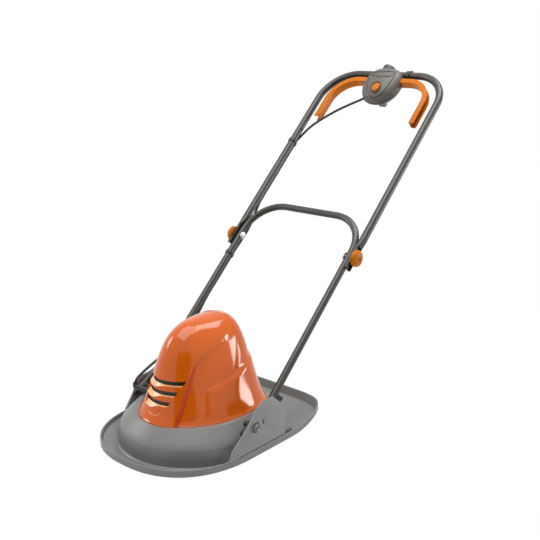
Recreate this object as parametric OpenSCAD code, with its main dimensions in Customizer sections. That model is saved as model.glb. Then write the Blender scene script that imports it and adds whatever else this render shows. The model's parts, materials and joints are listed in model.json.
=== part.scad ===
// Electric hover mower: floating hood, motor under a ribbed cover, folding two-piece handle.
// Units are millimetres. +Z is up, -Y is the nose, +Y is the operator's end, +X is the operator's left.
// The origin lies on the ground, midway along the whole machine.

/* [Hood] */
// Half of the hood's widest part
hood_half_w = 176; // [174:1:190]
// Reach of the hood in front of the blade axis
hood_nose = 193; // [185:1:215]
// Reach of the hood behind the blade axis
hood_tail = 267; // [250:1:310]
// Thickness of the moulding
hood_wall = 3; // [2:0.5:4]
// Height of the upturned rim at the nose
rim_h = 18; // [16:1:24]
// Extra height of the rim at the tail
rim_rise = 18; // [0:1:30]
// Height of the band round the outside of the rim
lip_h = 13; // [9:1:14]
// Thickness of the rim
lip_t = 4; // [3:0.5:6]
// Radius of the dome's wall where it meets the gutter
ring_r = 160; // [157:1:163]
// Extra reach of the dome behind the blade axis
ring_tail = 39; // [39:1:60]
// Radius and height of the dome's shoulder
shoulder_r = 154; // [148:1:157]
shoulder_h = 36; // [30:1:44]
// Radius of the flat deck that carries the motor and its cover
deck_r = 125; // [124:1:132]
// Height of that deck
deck_h = 70; // [66:1:78]
// Radius of the air intake under the motor
intake_r = 60; // [50:1:62]

/* [Motor cover] */
// Half width of the cover at its foot
cover_half_w = 119; // [105:1:120]
// Reach of the cover's foot in front of and behind the blade axis
cover_front = 120; // [105:1:121]
cover_rear = 158; // [140:1:160]
// Where along the machine the foot is widest
cover_mid = 36; // [20:1:50]
// Height of the cover above the deck
cover_h = 191; // [175:1:220]
// Where along the machine the top lies
apex_y = 64; // [40:1:80]
// Thickness of the cover
cover_wall = 2.5; // [2:0.5:4]
// Width and thickness of the flange inside the foot
flange_w = 14; // [12:1:18]
flange_t = 4; // [3:0.5:6]
// How far the front panel and the rear skirt stand proud
panel_step = 3; // [0:0.5:5]
skirt_step = 3; // [0:0.5:5]
// Height of a vent slot, and the rise from one to the next
vent_h = 9; // [5:0.5:12]
vent_pitch = 20; // [14:1:24]
// Height of the lowest vent above the deck
vent_low = 36; // [28:1:44]
// Length of the lowest vent, and the growth from one to the next
vent_len = 66; // [50:1:80]
vent_growth = 17; // [6:1:22]

/* [Handle] */
// Angle of the handle above the ground, resting on its stops
handle_angle = 43.7; // [40:0.1:48]
// Distance of the handle's pivot behind the blade axis, and its height above the ground
pivot_y = 6; // [0:1:14]
pivot_h = 70; // [66:1:78]
// Distance of the pivot above the line of the legs
pivot_rise = 18; // [12:1:24]
// Distance along the handle from the pivot to the kink in the legs
kink_u = 70; // [60:1:80]
// Half the spacing of the lower legs
lower_half_w = 163; // [161:0.5:165]
// Outside diameter of the lower and upper tubes
lower_d = 16; // [14:0.5:18]
upper_d = 18; // [16:0.5:20]
// Wall of both tubes
tube_wall = 1.2; // [0.8:0.1:2]
// Distance from the pivot to the lower crossbar, and its bend
lower_len = 535; // [500:1:600]
lower_bend = 87; // [70:1:95]
// Distance from the pivot to the top bar, and its bend
upper_len = 974; // [940:1:1040]
upper_bend = 90; // [75:1:92]
// Distance from the pivot to the clamp bolts
clamp_u = 434; // [400:1:440]
// Diameter of the clamp bolts and of the pivot bolts
bolt_d = 8; // [6:0.5:10]
// Diameter and depth of the clamp knobs
knob_d = 38; // [34:1:44]
knob_t = 14; // [12:1:20]
// Diameter of the cable
cable_d = 6; // [5:0.5:7]

/* [Switch box] */
// Half width of the box
box_half_w = 52; // [50:1:62]
// Reach of the box towards the top and towards the mower from its middle
box_up = 50; // [47:1:60]
box_down = 60; // [52:1:70]
// Distance of the box's middle below the top bar
box_drop = 37; // [35:1:38]
// Height of the front shell and depth of the rear shell
box_front = 30; // [26:1:38]
box_back = 20; // [18:1:26]
// Thickness of both shells
box_wall = 2.5; // [2:0.5:3]
// Width and depth of the start levers' channel, and its wall
lever_w = 20; // [16:1:22]
lever_t = 13; // [10:1:14]
lever_wall = 2.5; // [2:0.5:3.5]
// Length of a lever's straight tail
lever_tail = 64; // [50:1:80]

/* [Motor and blade] */
// Cutting diameter
blade_len = 250; // [220:1:262]
// Width and thickness of the blade
blade_w = 46; // [36:1:56]
blade_t = 3; // [2:0.5:4]
// Radius of the impeller
impeller_r = 112; // [95:1:116]
// Number of impeller vanes
vane_count = 10; // [6:1:14]
// Outside radius and height of the stator
stator_r = 44; // [40:1:48]
stator_h = 45; // [35:1:55]
// Radius of the armature
armature_r = 24; // [21:0.5:26]
// Diameter of the motor shaft
shaft_d = 8; // [7:0.5:9]
// Height of the blade's lower face above the ground
blade_z = 18; // [16:1:22]

/* [Hidden] */
$fn = 48;

// Clearances, and the overrun that every cut uses
over = 1;
run_fit = 0.06;
slip_fit = 0.2;
seat_gap = 0.3;
screw_fit = 0.1;

// Colours
grey_c = "#757573";
orange_c = "#cf6420";
bright_c = "#e0801f";
paint_c = "#4a4843";
box_c = "#6a675f";
black_c = "#1c1c1c";
steel_c = "#b8b8b4";
copper_c = "#b5713a";

// Hood outline: roundness of nose and tail, where the rim rises, dome section and gutter section
hood_cols = 96;
nose_power = 2.37;
tail_power = 6;
ring_front_power = 2;
ring_rear_power = 3.2;
rise_start_share = 0.5;
rise_end_share = 0.95;
dome_shares = [[0, 1], [0.33, 0.71], [0.68, 0.4], [0.92, 0.15], [1, 0]];
gutter_shares = [[0.12, 0], [0.42, 0.16], [0.62, 0.29], [0.8, 0.41], [0.92, 0.5]];
foot_h = 2 * hood_wall;
deck_edge = 4;

// Cover: how its outline draws in with height, and where its panel and skirt lie
cover_cols = 72;
cover_rows = 16;
cover_power = 0.6;
cover_top_power = 0.5;
cover_top_rate = 3;
cover_top_share = 0.985;
cover_cap_share = 0.996;
proud_fade_share = 0.3;
cover_front_root = 4.1;
cover_rear_root = 3.2;
cover_side_root = 2.4;
cover_rear_power = 2.8;
panel_angle = 30;
panel_growth = 26;
panel_blend = 7;
panel_top_share = 0.55;
skirt_share = 0.42;
skirt_slope_share = 0.0021;
skirt_blend_share = 0.035;
skirt_start_angle = 37;
skirt_fade_angle = 9;
vent_count = 3;
vent_slant = 5;
vent_x = -5;
screen_gap = 5;
screen_t = 2;
screen_angle = 46;
screen_top_share = 0.56;
screen_rows = 6;
screen_cols = 16;
cover_screw_angles = [25, 90, 155, 218, 322];
screw_d = 4;
screw_head_d = 9;
screw_head_h = 3;

// Handle bracket: a seat moulded into the gutter, a shelf, a riser, an outer plate and a rear wall
plate_t = 3.5;
plate_gap = 0.4;
rim_clear = 3;
pad_lap = 1;
pad_in = ring_r - pad_lap;
pad_out = hood_half_w - lip_t;
pad_front = 38;
pad_rear = 130;
pad_low = 6;
pad_h = 14;
shelf_t = 6;
shelf_in = ring_r + seat_gap;
shelf_margin = 2.5;
shelf_out = pad_out - shelf_margin;
bracket_head_d = 7.5;
bracket_screw_x = shelf_in + seat_gap + bracket_head_d / 2;
riser_in = bracket_screw_x + bracket_head_d / 2 + seat_gap;
riser_low = pad_h + shelf_t - over;
plate_in = lower_half_w + lower_d / 2 + plate_gap;
plate_out = plate_in + plate_t;
plate_low = rim_h + rim_clear;
plate_front = 70;
plate_rear = 100;
plate_high = 118;
// Corners of the left and the right plate, which is lower in front to let the cable pass
left_plate_shares = [[-1, 0], [-0.87, 0.19], [-0.29, 0.52], [-0.01, 0.74], [0.11, 0.89], [0.3, 1], [0.61, 1],
    [0.84, 0.8], [0.97, 0.62], [1, 0.41], [1, 0]];
right_plate_shares = [[-0.6, 0], [-0.29, 0.3], [-0.06, 0.58], [0.08, 0.68], [0.3, 0.7], [0.8, 0.78], [0.97, 0.62],
    [1, 0.41], [1, 0]];
rear_wall_y = 94;
rear_wall_t = 5;
rear_wall_h = 88;
gusset_h = 62;
pivot_boss_d = 28;
pivot_boss_h = 2;
bracket_slot_w = 4;
bracket_slot_h = 11;
bracket_slot_y = 31;
bracket_slot_z = 73;
bracket_screw_ys = [-30, 25, 75];
bracket_screw_depth = 7;
pivot_head_d = 15;
pivot_head_h = 4;
pivot_slot_w = 2.5;
pivot_slot_d = 1.5;
pivot_nut_t = 6.5;
nut_across = 13;
pivot_end = lower_half_w - lower_d / 2 - seat_gap;

// Handle stop: a rubber block on a seat under each leg
stop_u = 79;
stop_len = 18;
stop_h = 14;
stop_w = 12;
seat_h = 18;
seat_len = 22;
seat_half_w = 8;
seat_in = lower_half_w - seat_half_w;

// Legs, crimp and clamp
tube_past_pivot = 12;
kink_bend = 60;
kink_steps = 4;
bend_steps = 10;
pipe_sides = 20;
plug_past_pivot = 30;
plug_in = 34;
plug_tip = 3;
crimp_gap = 0.4;
crimp_inset = 5;
crimp_base = 2.4;
crimp_w = 20;
crimp_flange = 2;
crimp_depth = 7;
crimp_down = 30;
crimp_up = 30;
crimp_blend = 18;
crimp_slice = 0.5;
upper_half_w = lower_half_w + lower_d / 2 + crimp_gap + crimp_inset;
crimp_in = lower_half_w + lower_d / 2 + crimp_gap;
bolt_head_d = 18;
bolt_head_h = 4.5;
bolt_dome = 2;
knob_gap = 0.5;
knob_boss_d = 15;
knob_edge = 8;
knob_bevel = 1.5;
knob_dome_shares = [[1, 0], [0.93, 0.34], [0.78, 0.66], [0.55, 0.88], [0.28, 1], [0, 1]];
knob_grips = 5;
knob_grip_d = 16;
knob_grip_depth = 2.5;
knob_start = crimp_in + crimp_depth + knob_gap;
knob_skin = 5;
clamp_head = lower_half_w - lower_d / 2;
clamp_end = knob_start + knob_t - knob_skin;

// Switch box outline and fittings
box_cols = 40;
box_rows = 7;
box_up_power = 2.6;
box_down_power = 2.2;
box_dome_power = 2.5;
box_tip_share = 0.12;
box_u = upper_len - box_drop;
lever_drop = 25;
lever_u = upper_len - lever_drop;
lever_hub_d = 18;
lever_post_d = 8;
lever_pivot_x = 38;
lever_bend = 61;
lever_bend_x = 74;
lever_slot_play = 0.6;
lever_sweep = 4;
lever_cheek = 6;
post_top = 9;
lock_x = 4;
lock_drop = 29;
lock_u = box_u - lock_drop;
lock_r = 10;
lock_half = 3;
lock_proud = 2;
lock_play = 0.3;
lock_stem = 17;
lock_lip = 2;
lock_lip_t = 3;
lock_lip_gap = 0.6;
lock_thumb = 1;
switch_l = 28;
switch_w = 15;
switch_n = 12;
switch_seat = 11;
switch_x = 0;
switch_u = box_u - 6;
seat_w = 8;
seat_place_share = 0.33;
inlet_d = 34;
inlet_x = -14;
inlet_n = -5;
inlet_len = 17;
inlet_wall = 3;
inlet_depth = 12;
pin_d = 4;
pin_gap = 10;
pin_len = 9;
box_screw_places = [[-28, -36], [28, -36], [0, 8]];
box_post_d = 9;
box_screw_d = 3.4;
box_head_d = 7;
box_head_h = 2.5;
box_screw_reach = 9;
bump_w = 18;
bump_t = 10;
bump_x = 24;
bump_sink_share = 0.33;
restraint_gap = 1;
restraint_x = box_half_w + restraint_gap;
restraint_w = 10;
restraint_t = 3;
hook_h = 7;
hook_t = 4;
clip_w = 9;
clip_t = 1.8;
lower_clip_drop = 58;
lower_clip_u = clamp_u - lower_clip_drop;
fold_end_rise = 123;
fold_end_u = clamp_u + fold_end_rise;
upper_clip_share = 0.53;
upper_clip_u = mix(fold_end_u, upper_len - upper_bend, upper_clip_share);

// Motor stack, from the blade upwards
washer_t = 2.5;
washer_d = 26;
head_h = 5.5;
spacer_t = 5;
spacer_d = 26;
spacer_count = 2;
spacer_gap = 0.1;
blade_bolt_d = 5;
blade_bolt_reach = 14;
blade_tip_share = 0.62;
blade_step_share = 0.7;
impeller_low = blade_z + blade_t + spacer_count * spacer_t;
disc_rise = 3;
impeller_disc_z = impeller_low + disc_rise;
impeller_disc_t = 3;
impeller_hub_d = 28;
impeller_hub_h = 33;
vane_h = 25;
vane_t = 2.5;
vane_root = 34;
vane_sweep = 25;
frame_lap = 4;
frame_ring_w = 14;
frame_ring_in = intake_r + frame_lap;
frame_ring_out = frame_ring_in + frame_ring_w;
frame_t = 6;
frame_hub_d = 36;
frame_hub_low = 4;
frame_hub_h = 16;
spoke_w = 12;
spoke_count = 4;
pillar_d = 12;
pillar_h = 24;
pillar_in = 5;
pillar_r = stator_r - pillar_in;
bearing_d = 22;
bearing_h = 7;
stator_z = deck_h + frame_t + pillar_h;
stator_yoke = 10;
air_gap = 0.6;
pole_half = 50;
coil_half = 36;
coil_gap = 0.8;
coil_over = 4;
upper_plate_z = stator_z + stator_h;
upper_plate_t = 5;
upper_post_h = 24;
upper_post_w = 14;
upper_bridge_t = 6;
upper_hub_d = 32;
upper_hub_h = 12;
winding_r = 19;
winding_over = 5;
comm_r = 13;
comm_h = 15;
comm_rise = 6;
comm_z = upper_plate_z + comm_rise;
brush_w = 6;
brush_h = 9;
brush_len = 14;
holder_wall = 2.5;
holder_in = 4;
holder_len = 22;
shaft_past = 3;
shaft_top = upper_plate_z + upper_plate_t + upper_post_h + upper_bridge_t + shaft_past;
mount_screw_r = (frame_ring_in + frame_ring_out) / 2;
cap_d = 18;
cap_h = 34;
cap_x = -62;
cap_y = 78;
block_l = 42;
block_w = 18;
block_h = 16;
block_x = -90;
block_y = 16;
block_groove = 3;
block_ways = 3;

// Cable: where it leaves the box and the legs, and its hand-chosen route points
cable_sides = 8;
cable_steps = 3;
gland_d = 13;
gland_y = -30;
gland_z = 80;
gland_in = 92;
gland_out = 147;
gland_rise = 9;
lower_run_n = -(lower_d / 2 + cable_d / 2 + seat_gap);
upper_run_n = -(upper_d / 2 + cable_d / 2 + seat_gap);
// Route of the lead inside the cover, about the blade axis
lead_route = [[-92, -30, 80], [-88.5, -28, 80], [-87.5, -22, 79.5], [-88.5, -14, 79], [-89.5, -6, 78.5]];
// Route of the loop from the gland towards the right leg, about the blade axis
loop_route = [[-147, -30, 89], [-147, -29, 93], [-148, -23, 98], [-149, -10, 104], [-150, 10, 111.5], [-150, 30, 119],
    [-150.5, 54, 126], [-151.5, 76, 130], [-151.7, 90, 131]];
// Route down the right lower leg, along the handle
lower_route = [[-151.7, 125, 0], [-151.7, 140, -1], [-154, 175, -7], [-159, 215, -10.8], [-163, 260, -11.3],
    [-163, 320, -11.3], [-163, 385, -11.3]];
// Route across the fold, along the handle
fold_route = [[-163, 385, -11.3], [-163, 400, -11.6], [-163, 425, -13], [-164, 452, -15], [-167, 482, -16],
    [-172, 512, -14.5], [-176, 542, -12.6], [-176.4, 556.7, -12.3]];
// Route from the right upper leg to the box: a run under the leg, then across, by shares of the way up
run_past_clip = 13;
run_end_u = upper_clip_u + run_past_clip;
run_shares = [0, 0.33, 0.67, 1];
cable_exit_drop = 42;
cross_shares = [[-173.5, 0.08, -12], [-166, 0.16, -9], [-156, 0.25, -5], [-144, 0.34, -1.5], [-126, 0.475, 0],
    [-98, 0.67, 0], [-68, 0.83, 0], [-44, 0.945, 0], [-32, 1, 0]];
upper_route = concat(
    [for (share = run_shares) [-upper_half_w, mix(fold_end_u, run_end_u, share), upper_run_n]],
    [for (p = cross_shares) [p[0], mix(run_end_u, box_u - cable_exit_drop, p[1]), p[2]]]);
loop_end = lower_route[0];
loop_lead = 10;
cable_gap = 0.3;
cable_side_axis = [0.35, 0.5, 0.8];

// Frame: the origin is midway between the nose and the far end of the handle
reach_u = upper_len + upper_d / 2 + inlet_len;
reach_n = inlet_n - inlet_d / 2;
handle_y = pivot_y + pivot_rise * sin(handle_angle);
handle_z = pivot_h - pivot_rise * cos(handle_angle);
tail_y = handle_y + reach_u * cos(handle_angle) - reach_n * sin(handle_angle);
frame_y = (tail_y - hood_nose) / 2;
kink_drop = atan2(pivot_rise, kink_u);
kink_run = kink_bend * tan(kink_drop / 2);

// Places parts that are modelled about the blade axis
module on_deck() { translate([0, -frame_y, 0]) children(); }

// Places parts that are modelled along the handle: X across, Y away from the pivot, Z up out of its plane
module on_handle() {
    on_deck() translate([0, handle_y, handle_z]) rotate([handle_angle, 0, 0]) children();
}

// Places parts along the kinked foot of a leg: Z runs from the pivot towards the kink
module on_foot(side) {
    translate([side * lower_half_w, 0, pivot_rise]) rotate([-90 - kink_drop, 0, 0]) children();
}

module both() {
    children();
    mirror([1, 0, 0]) children();
}
module rod_x(d, from, to) { translate([from, 0, 0]) rotate([0, 90, 0]) cylinder(d = d, h = to - from); }
module rod_y(d, from, to) { translate([0, from, 0]) rotate([-90, 0, 0]) cylinder(d = d, h = to - from); }
module rod_z(d, from, to) { translate([0, 0, from]) cylinder(d = d, h = to - from); }
module block(low, high) { translate(low) cube(high - low); }

function smooth(t) = let (c = min(1, max(0, t))) c * c * (3 - 2 * c);
function mix(a, b, t) = a + (b - a) * t;
function unit(v) = v / norm(v);
function turns(n) = [for (i = [0:n - 1]) 360 * i / n];

// Radius of a unit superellipse in the direction with this cosine and sine
function super(c, s, power) = pow(pow(abs(c), power) + pow(abs(s), power), -1 / power);

// A plan curve with its own reach and roundness in front and behind
function plan(a, w, front, rear, front_power, rear_power) =
    let (c = cos(a), s = sin(a), k = super(c, s, s < 0 ? front_power : rear_power))
    [w * k * c, k * s * (s < 0 ? front : rear)];

// Closed solid through rings of points, with a fan to the middle of the first and the last ring
module loft(rings) {
    rows = len(rings);
    cols = len(rings[0]);
    middle = function(ring) [for (k = [0:2]) [for (p = ring) p[k]] * [for (p = ring) 1] / cols];
    points = concat([for (ring = rings) each ring], [middle(rings[0]), middle(rings[rows - 1])]);
    first = rows * cols;
    last = first + 1;
    polyhedron(points, concat(
        [for (j = [0:cols - 1]) [first, (j + 1) % cols, j]],
        [for (i = [0:rows - 2]) for (j = [0:cols - 1])
            let (a = i * cols + j, b = i * cols + (j + 1) % cols) each [[a, b, b + cols], [a, b + cols, a + cols]]],
        [for (j = [0:cols - 1])
            let (row = (rows - 1) * cols) [last, row + j, row + (j + 1) % cols]]));
}

// Round tube along points, smoothed through them
function spline(p, i, t) =
    let (a = p[max(i - 1, 0)], b = p[i], c = p[i + 1], d = p[min(i + 2, len(p) - 1)])
    0.5 * (2 * b + (c - a) * t + (2 * a - 5 * b + 4 * c - d) * t * t + (3 * b - a - 3 * c + d) * t * t * t);
function smooth_route(p) = concat(
    [for (i = [0:len(p) - 2]) for (k = [0:cable_steps - 1]) spline(p, i, k / cable_steps)], [p[len(p) - 1]]);
module tube(route) {
    p = smooth_route(route);
    n = len(p);
    loft([for (i = [0:n - 1])
        let (d = unit(p[min(i + 1, n - 1)] - p[max(i - 1, 0)]), e = unit(cross(d, cable_side_axis)), g = cross(e, d))
        [for (a = turns(cable_sides)) p[i] + cable_d / 2 * (cos(a) * e + sin(a) * g)]]);
}

// Hollow tube along points that lie near one plane
module pipe(path, d, wall) {
    n = len(path);
    ring = function(i, r)
        let (t = unit(path[min(i + 1, n - 1)] - path[max(i - 1, 0)]), e = unit(cross(t, [0, 0, 1])), g = cross(e, t))
        [for (a = turns(pipe_sides)) path[i] + r * (cos(a) * e + sin(a) * g)];
    rings = concat([for (i = [0:n - 1]) ring(i, d / 2)], [for (i = [n - 1:-1:0]) ring(i, d / 2 - wall)]);
    rows = len(rings);
    polyhedron([for (r = rings) each r], [for (i = [0:rows - 1]) for (j = [0:pipe_sides - 1])
        let (k = (j + 1) % pipe_sides, low = i * pipe_sides, high = (i + 1) % rows * pipe_sides)
        each [[low + j, low + k, high + k], [low + j, high + k, high + j]]]);
}

// Hood

function rim_z(y) = rim_h + rim_rise * smooth((y / hood_tail - rise_start_share)
    / (rise_end_share - rise_start_share));
function outline(a) = plan(a, hood_half_w, hood_nose, hood_tail, nose_power, tail_power);
function ring(a, r) = plan(a, r, r, r + ring_tail, ring_front_power, ring_rear_power);
function dome_ring(share, wall) =
    let (r = mix(deck_r, shoulder_r, share[0]) - wall, z = mix(shoulder_h, deck_h, share[1]) - wall)
    [for (a = turns(hood_cols)) let (p = ring(a, r)) [p[0], p[1], z]];
function flat_ring(r, z) = [for (a = turns(hood_cols)) let (p = ring(a, r)) [p[0], p[1], z]];

// Share of the gutter's width at the inner face of the rim
function rim_share(a) = 1 - lip_t / norm(outline(a) - ring(a, ring_r));
function gutter_ring(share, up) = [for (a = turns(hood_cols))
    let (o = outline(a), s = share[0] * (up ? rim_share(a) : 1), p = mix(ring(a, ring_r), o, s))
    [p[0], p[1], mix(hood_wall, rim_z(o[1]), share[1]) - (up ? 0 : hood_wall)]];
function rim_ring(inside, drop) = [for (a = turns(hood_cols))
    let (o = outline(a), p = mix(ring(a, ring_r), o, inside ? rim_share(a) : 1)) [p[0], p[1], rim_z(o[1]) - drop]];

module hood_shell() {
    last_dome = len(dome_shares) - 1;
    last_gutter = len(gutter_shares) - 1;
    loft(concat(
        [flat_ring(deck_r - deck_edge, deck_h)],
        [for (i = [0:last_dome]) dome_ring(dome_shares[i], 0)],
        [flat_ring(ring_r, foot_h)],
        [for (i = [0:last_gutter]) gutter_ring(gutter_shares[i], true)],
        [rim_ring(true, 0), rim_ring(false, 0), rim_ring(false, lip_h)],
        [for (i = [last_gutter:-1:0]) gutter_ring(gutter_shares[i], false)],
        [flat_ring(ring_r - hood_wall, 0)],
        [for (i = [last_dome:-1:0]) dome_ring(dome_shares[i], hood_wall)],
        [flat_ring(deck_r - deck_edge - hood_wall, deck_h - hood_wall)]));
}

module hood() {
    color(grey_c) on_deck() difference() {
        union() {
            hood_shell();
            both() block([pad_in, -pad_front, pad_low], [pad_out, pad_rear, pad_h]);
        }
        rod_z(2 * intake_r, deck_h - hood_wall - over, deck_h + over);
        at_mount_screws() rod_z(screw_d + screw_fit, deck_h - hood_wall - over, deck_h + over);
        at_cover_screws() rod_z(screw_d + screw_fit, deck_h - hood_wall - over, deck_h + over);
        both() at_bracket_screws() rod_z(screw_d + screw_fit, pad_h - bracket_screw_depth, pad_h + over);
    }
}

// Handle brackets, their screws, pivots and stops

module at_bracket_screws() { for (y = bracket_screw_ys) translate([bracket_screw_x, y, 0]) children(); }

module bracket_plate(shares) {
    points = [for (s = shares) [s[0] * (s[0] < 0 ? plate_front : plate_rear), mix(plate_low, plate_high, s[1])]];
    translate([plate_in, 0, 0]) rotate([90, 0, 90]) linear_extrude(plate_t) polygon(points);
}

module stop_seat() {
    top = -lower_d / 2 - seat_gap - stop_h;
    translate([0, handle_y, handle_z]) rotate([handle_angle, 0, 0])
        block([seat_in, stop_u - seat_len / 2, top - seat_h], [plate_in + over, stop_u + seat_len / 2, top]);
}

module bracket(shares) {
    difference() {
        union() {
            bracket_plate(shares);
            block([shelf_in, -pad_front, pad_h], [shelf_out, pad_rear, pad_h + shelf_t]);
            block([riser_in, -pad_front, riser_low], [plate_in + over, rear_wall_y + rear_wall_t, plate_low + shelf_t]);
            block([shelf_in, rear_wall_y, riser_low], [plate_in + over, rear_wall_y + rear_wall_t, rear_wall_h]);
            translate([shelf_in, 0, 0]) rotate([90, 0, 90]) linear_extrude(shelf_out - shelf_in)
                polygon([[rear_wall_y, pad_h], [pad_rear, pad_h], [pad_rear, pad_h + shelf_t],
                    [rear_wall_y + rear_wall_t, gusset_h], [rear_wall_y, gusset_h]]);
            stop_seat();
            translate([0, pivot_y, pivot_h]) rod_x(pivot_boss_d, plate_out - over, plate_out + pivot_boss_h);
        }
        translate([0, pivot_y, pivot_h]) rod_x(bolt_d + slip_fit, plate_in - over, plate_out + pivot_boss_h + over);
        translate([plate_in - over, bracket_slot_y - bracket_slot_w / 2, bracket_slot_z - bracket_slot_h / 2])
            cube([plate_t + 2 * over, bracket_slot_w, bracket_slot_h]);
        at_bracket_screws() rod_z(screw_d + screw_fit, pad_h - over, pad_h + shelf_t + over);
    }
}

module handle_bracket_left() { color(grey_c) on_deck() bracket(left_plate_shares); }
module handle_bracket_right() { color(grey_c) on_deck() mirror([1, 0, 0]) bracket(right_plate_shares); }

module bracket_screws() {
    color(steel_c) on_deck() both() at_bracket_screws() {
        rod_z(screw_d, pad_h - bracket_screw_depth + over, pad_h + shelf_t + over);
        rod_z(bracket_head_d, pad_h + shelf_t, pad_h + shelf_t + screw_head_h);
    }
}

module pivot_bolts() {
    head = plate_out + pivot_boss_h;
    color(steel_c) on_deck() both() translate([0, pivot_y, pivot_h]) difference() {
        union() {
            rod_x(bolt_d, pivot_end - pivot_nut_t, head + over);
            rod_x(pivot_head_d, head, head + pivot_head_h);
        }
        block([head + pivot_head_h - pivot_slot_d, -pivot_head_d, -pivot_slot_w / 2],
            [head + pivot_head_h + over, pivot_head_d, pivot_slot_w / 2]);
    }
}

module pivot_nuts() {
    color(steel_c) on_deck() both() translate([pivot_end - pivot_nut_t, pivot_y, pivot_h]) rotate([0, 90, 0]) difference() {
        cylinder(d = nut_across / cos(30), h = pivot_nut_t, $fn = 6);
        rod_z(bolt_d + screw_fit, -over, pivot_nut_t + over);
    }
}

module stop_buffers() {
    top = -lower_d / 2 - seat_gap;
    color(black_c) on_handle() both()
        block([lower_half_w - stop_w / 2, stop_u - stop_len / 2, top - stop_h],
            [lower_half_w + stop_w / 2, stop_u + stop_len / 2, top]);
}

// Motor cover

// Distance that the front panel and the rear skirt stand out at this angle and height
function panel_out(a, t) =
    let (from_front = abs(a - 270), reach = min(90, panel_angle + panel_growth * t
        + (90 - panel_angle) * smooth((t - panel_top_share) / (1 - panel_top_share))))
    panel_step * smooth((reach - from_front) / panel_blend);
function skirt_out(a, t) =
    let (side = a < 90 ? a : a < 270 ? 180 - a : a - 360, line = skirt_share + skirt_slope_share * side)
    skirt_step * smooth((line - t) / skirt_blend_share) * smooth((side + skirt_start_angle) / skirt_fade_angle);

// A point of the cover at an angle round it and a share of its height, drawn in by a distance
function cover_point(a, t, inset) =
    let (c = cos(a), s = sin(a), left = 1 - pow(t, cover_power + cover_top_power * pow(t, cover_top_rate)),
        front = apex_y - (apex_y + cover_front) * pow(left, 1 / cover_front_root),
        rear = apex_y + (cover_rear - apex_y) * pow(left, 1 / cover_rear_root),
        half = cover_half_w * pow(left, 1 / cover_side_root),
        mid = min(max(mix(cover_mid, apex_y, t), front), rear),
        k = s < 0 ? 1 : super(c, s, cover_rear_power),
        out = (panel_out(a, t) + skirt_out(a, t)) * smooth(left / proud_fade_share) - inset)
    [max(half + out, 0) * k * c, mid + max((s < 0 ? mid - front : rear - mid) + out, 0) * k * s, deck_h + cover_h * t];
function cover_share(i) = 1 - pow(1 - i / cover_rows, 2);
function cover_ring(t, inset, z) = [for (a = turns(cover_cols))
    let (p = cover_point(a, t, inset)) [p[0], p[1], z]];

module cover_shell() {
    outer = [for (i = [cover_rows - 1:-1:0]) let (t = cover_share(i) * cover_top_share)
        cover_ring(t, 0, deck_h + cover_h * t)];
    inner_h = cover_h - cover_wall;
    inner = [for (i = [1:cover_rows - 1]) let (t = cover_share(i) * cover_top_share)
        cover_ring(t, cover_wall, deck_h + max(inner_h * t, flange_t))];
    loft(concat([cover_ring(cover_cap_share, 0, deck_h + cover_h)], outer,
        [cover_ring(0, flange_w, deck_h), cover_ring(0, flange_w, deck_h + flange_t),
            cover_ring(0, cover_wall + over, deck_h + flange_t)], inner));
}

module at_cover_screws() {
    for (a = cover_screw_angles) {
        p = cover_point(a, 0, (flange_w + cover_wall) / 2);
        translate([p[0], p[1], 0]) children();
    }
}

module vents() {
    for (i = [0:vent_count - 1]) {
        half = (vent_len + i * vent_growth) / 2;
        translate([vent_x, 0, deck_h + vent_low + i * vent_pitch]) rotate([90, 0, 0])
            linear_extrude(cover_front + panel_step + over)
                polygon([[-half, 0], [half, 0], [half + vent_slant, vent_h], [-half - vent_slant, vent_h]]);
    }
}

module motor_cover() {
    color(orange_c) on_deck() difference() {
        cover_shell();
        vents();
        at_cover_screws() rod_z(screw_d + screw_fit, deck_h - over, deck_h + flange_t + over);
        translate([0, gland_y, gland_z]) rod_x(gland_d + slip_fit, -cover_half_w - over, -cover_half_w / 2);
    }
}

module cover_screws() {
    low = deck_h - hood_wall;
    color(steel_c) on_deck() at_cover_screws() {
        rod_z(screw_d, low - over, deck_h + flange_t + over);
        rod_z(screw_head_d, low - screw_head_h, low);
    }
}

// Solid between two grids of points, one a skin's front and the other its back
module sheet(front, back) {
    rows = len(front) - 1;
    cols = len(front[0]) - 1;
    at = function(i, j) i * (cols + 1) + j;
    behind = (rows + 1) * (cols + 1);
    cells = [for (i = [0:rows - 1]) for (j = [0:cols - 1]) [at(i, j), at(i, j + 1), at(i + 1, j + 1), at(i + 1, j)]];
    edge = concat([for (j = [0:cols - 1]) [at(0, j), at(0, j + 1)]], [for (i = [0:rows - 1]) [at(i, cols), at(i + 1, cols)]],
        [for (j = [cols:-1:1]) [at(rows, j), at(rows, j - 1)]], [for (i = [rows:-1:1]) [at(i, 0), at(i - 1, 0)]]);
    polyhedron(concat([for (r = front) each r], [for (r = back) each r]), concat(
        [for (c = cells) each [[c[0], c[1], c[2]], [c[0], c[2], c[3]]]],
        [for (c = cells) each [[c[2] + behind, c[1] + behind, c[0] + behind], [c[3] + behind, c[2] + behind, c[0] + behind]]],
        [for (e = edge) each [[e[1], e[0], e[0] + behind], [e[1], e[0] + behind, e[1] + behind]]]));
}

// Black screen behind the vents, standing on the cover's flange
module vent_screen() {
    share = function(i) mix(flange_t / cover_h, screen_top_share, i / screen_rows);
    skin = function(inset) [for (i = [0:screen_rows]) [for (j = [0:screen_cols])
        cover_point(270 + mix(-screen_angle, screen_angle, j / screen_cols), share(i), cover_wall + inset)]];
    color(black_c) on_deck() sheet(skin(screen_gap), skin(screen_gap + screen_t));
}

// Motor

module at_mount_screws() {
    for (a = turns(spoke_count)) rotate([0, 0, a + 180 / spoke_count]) translate([mount_screw_r, 0, 0]) children();
}

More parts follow.
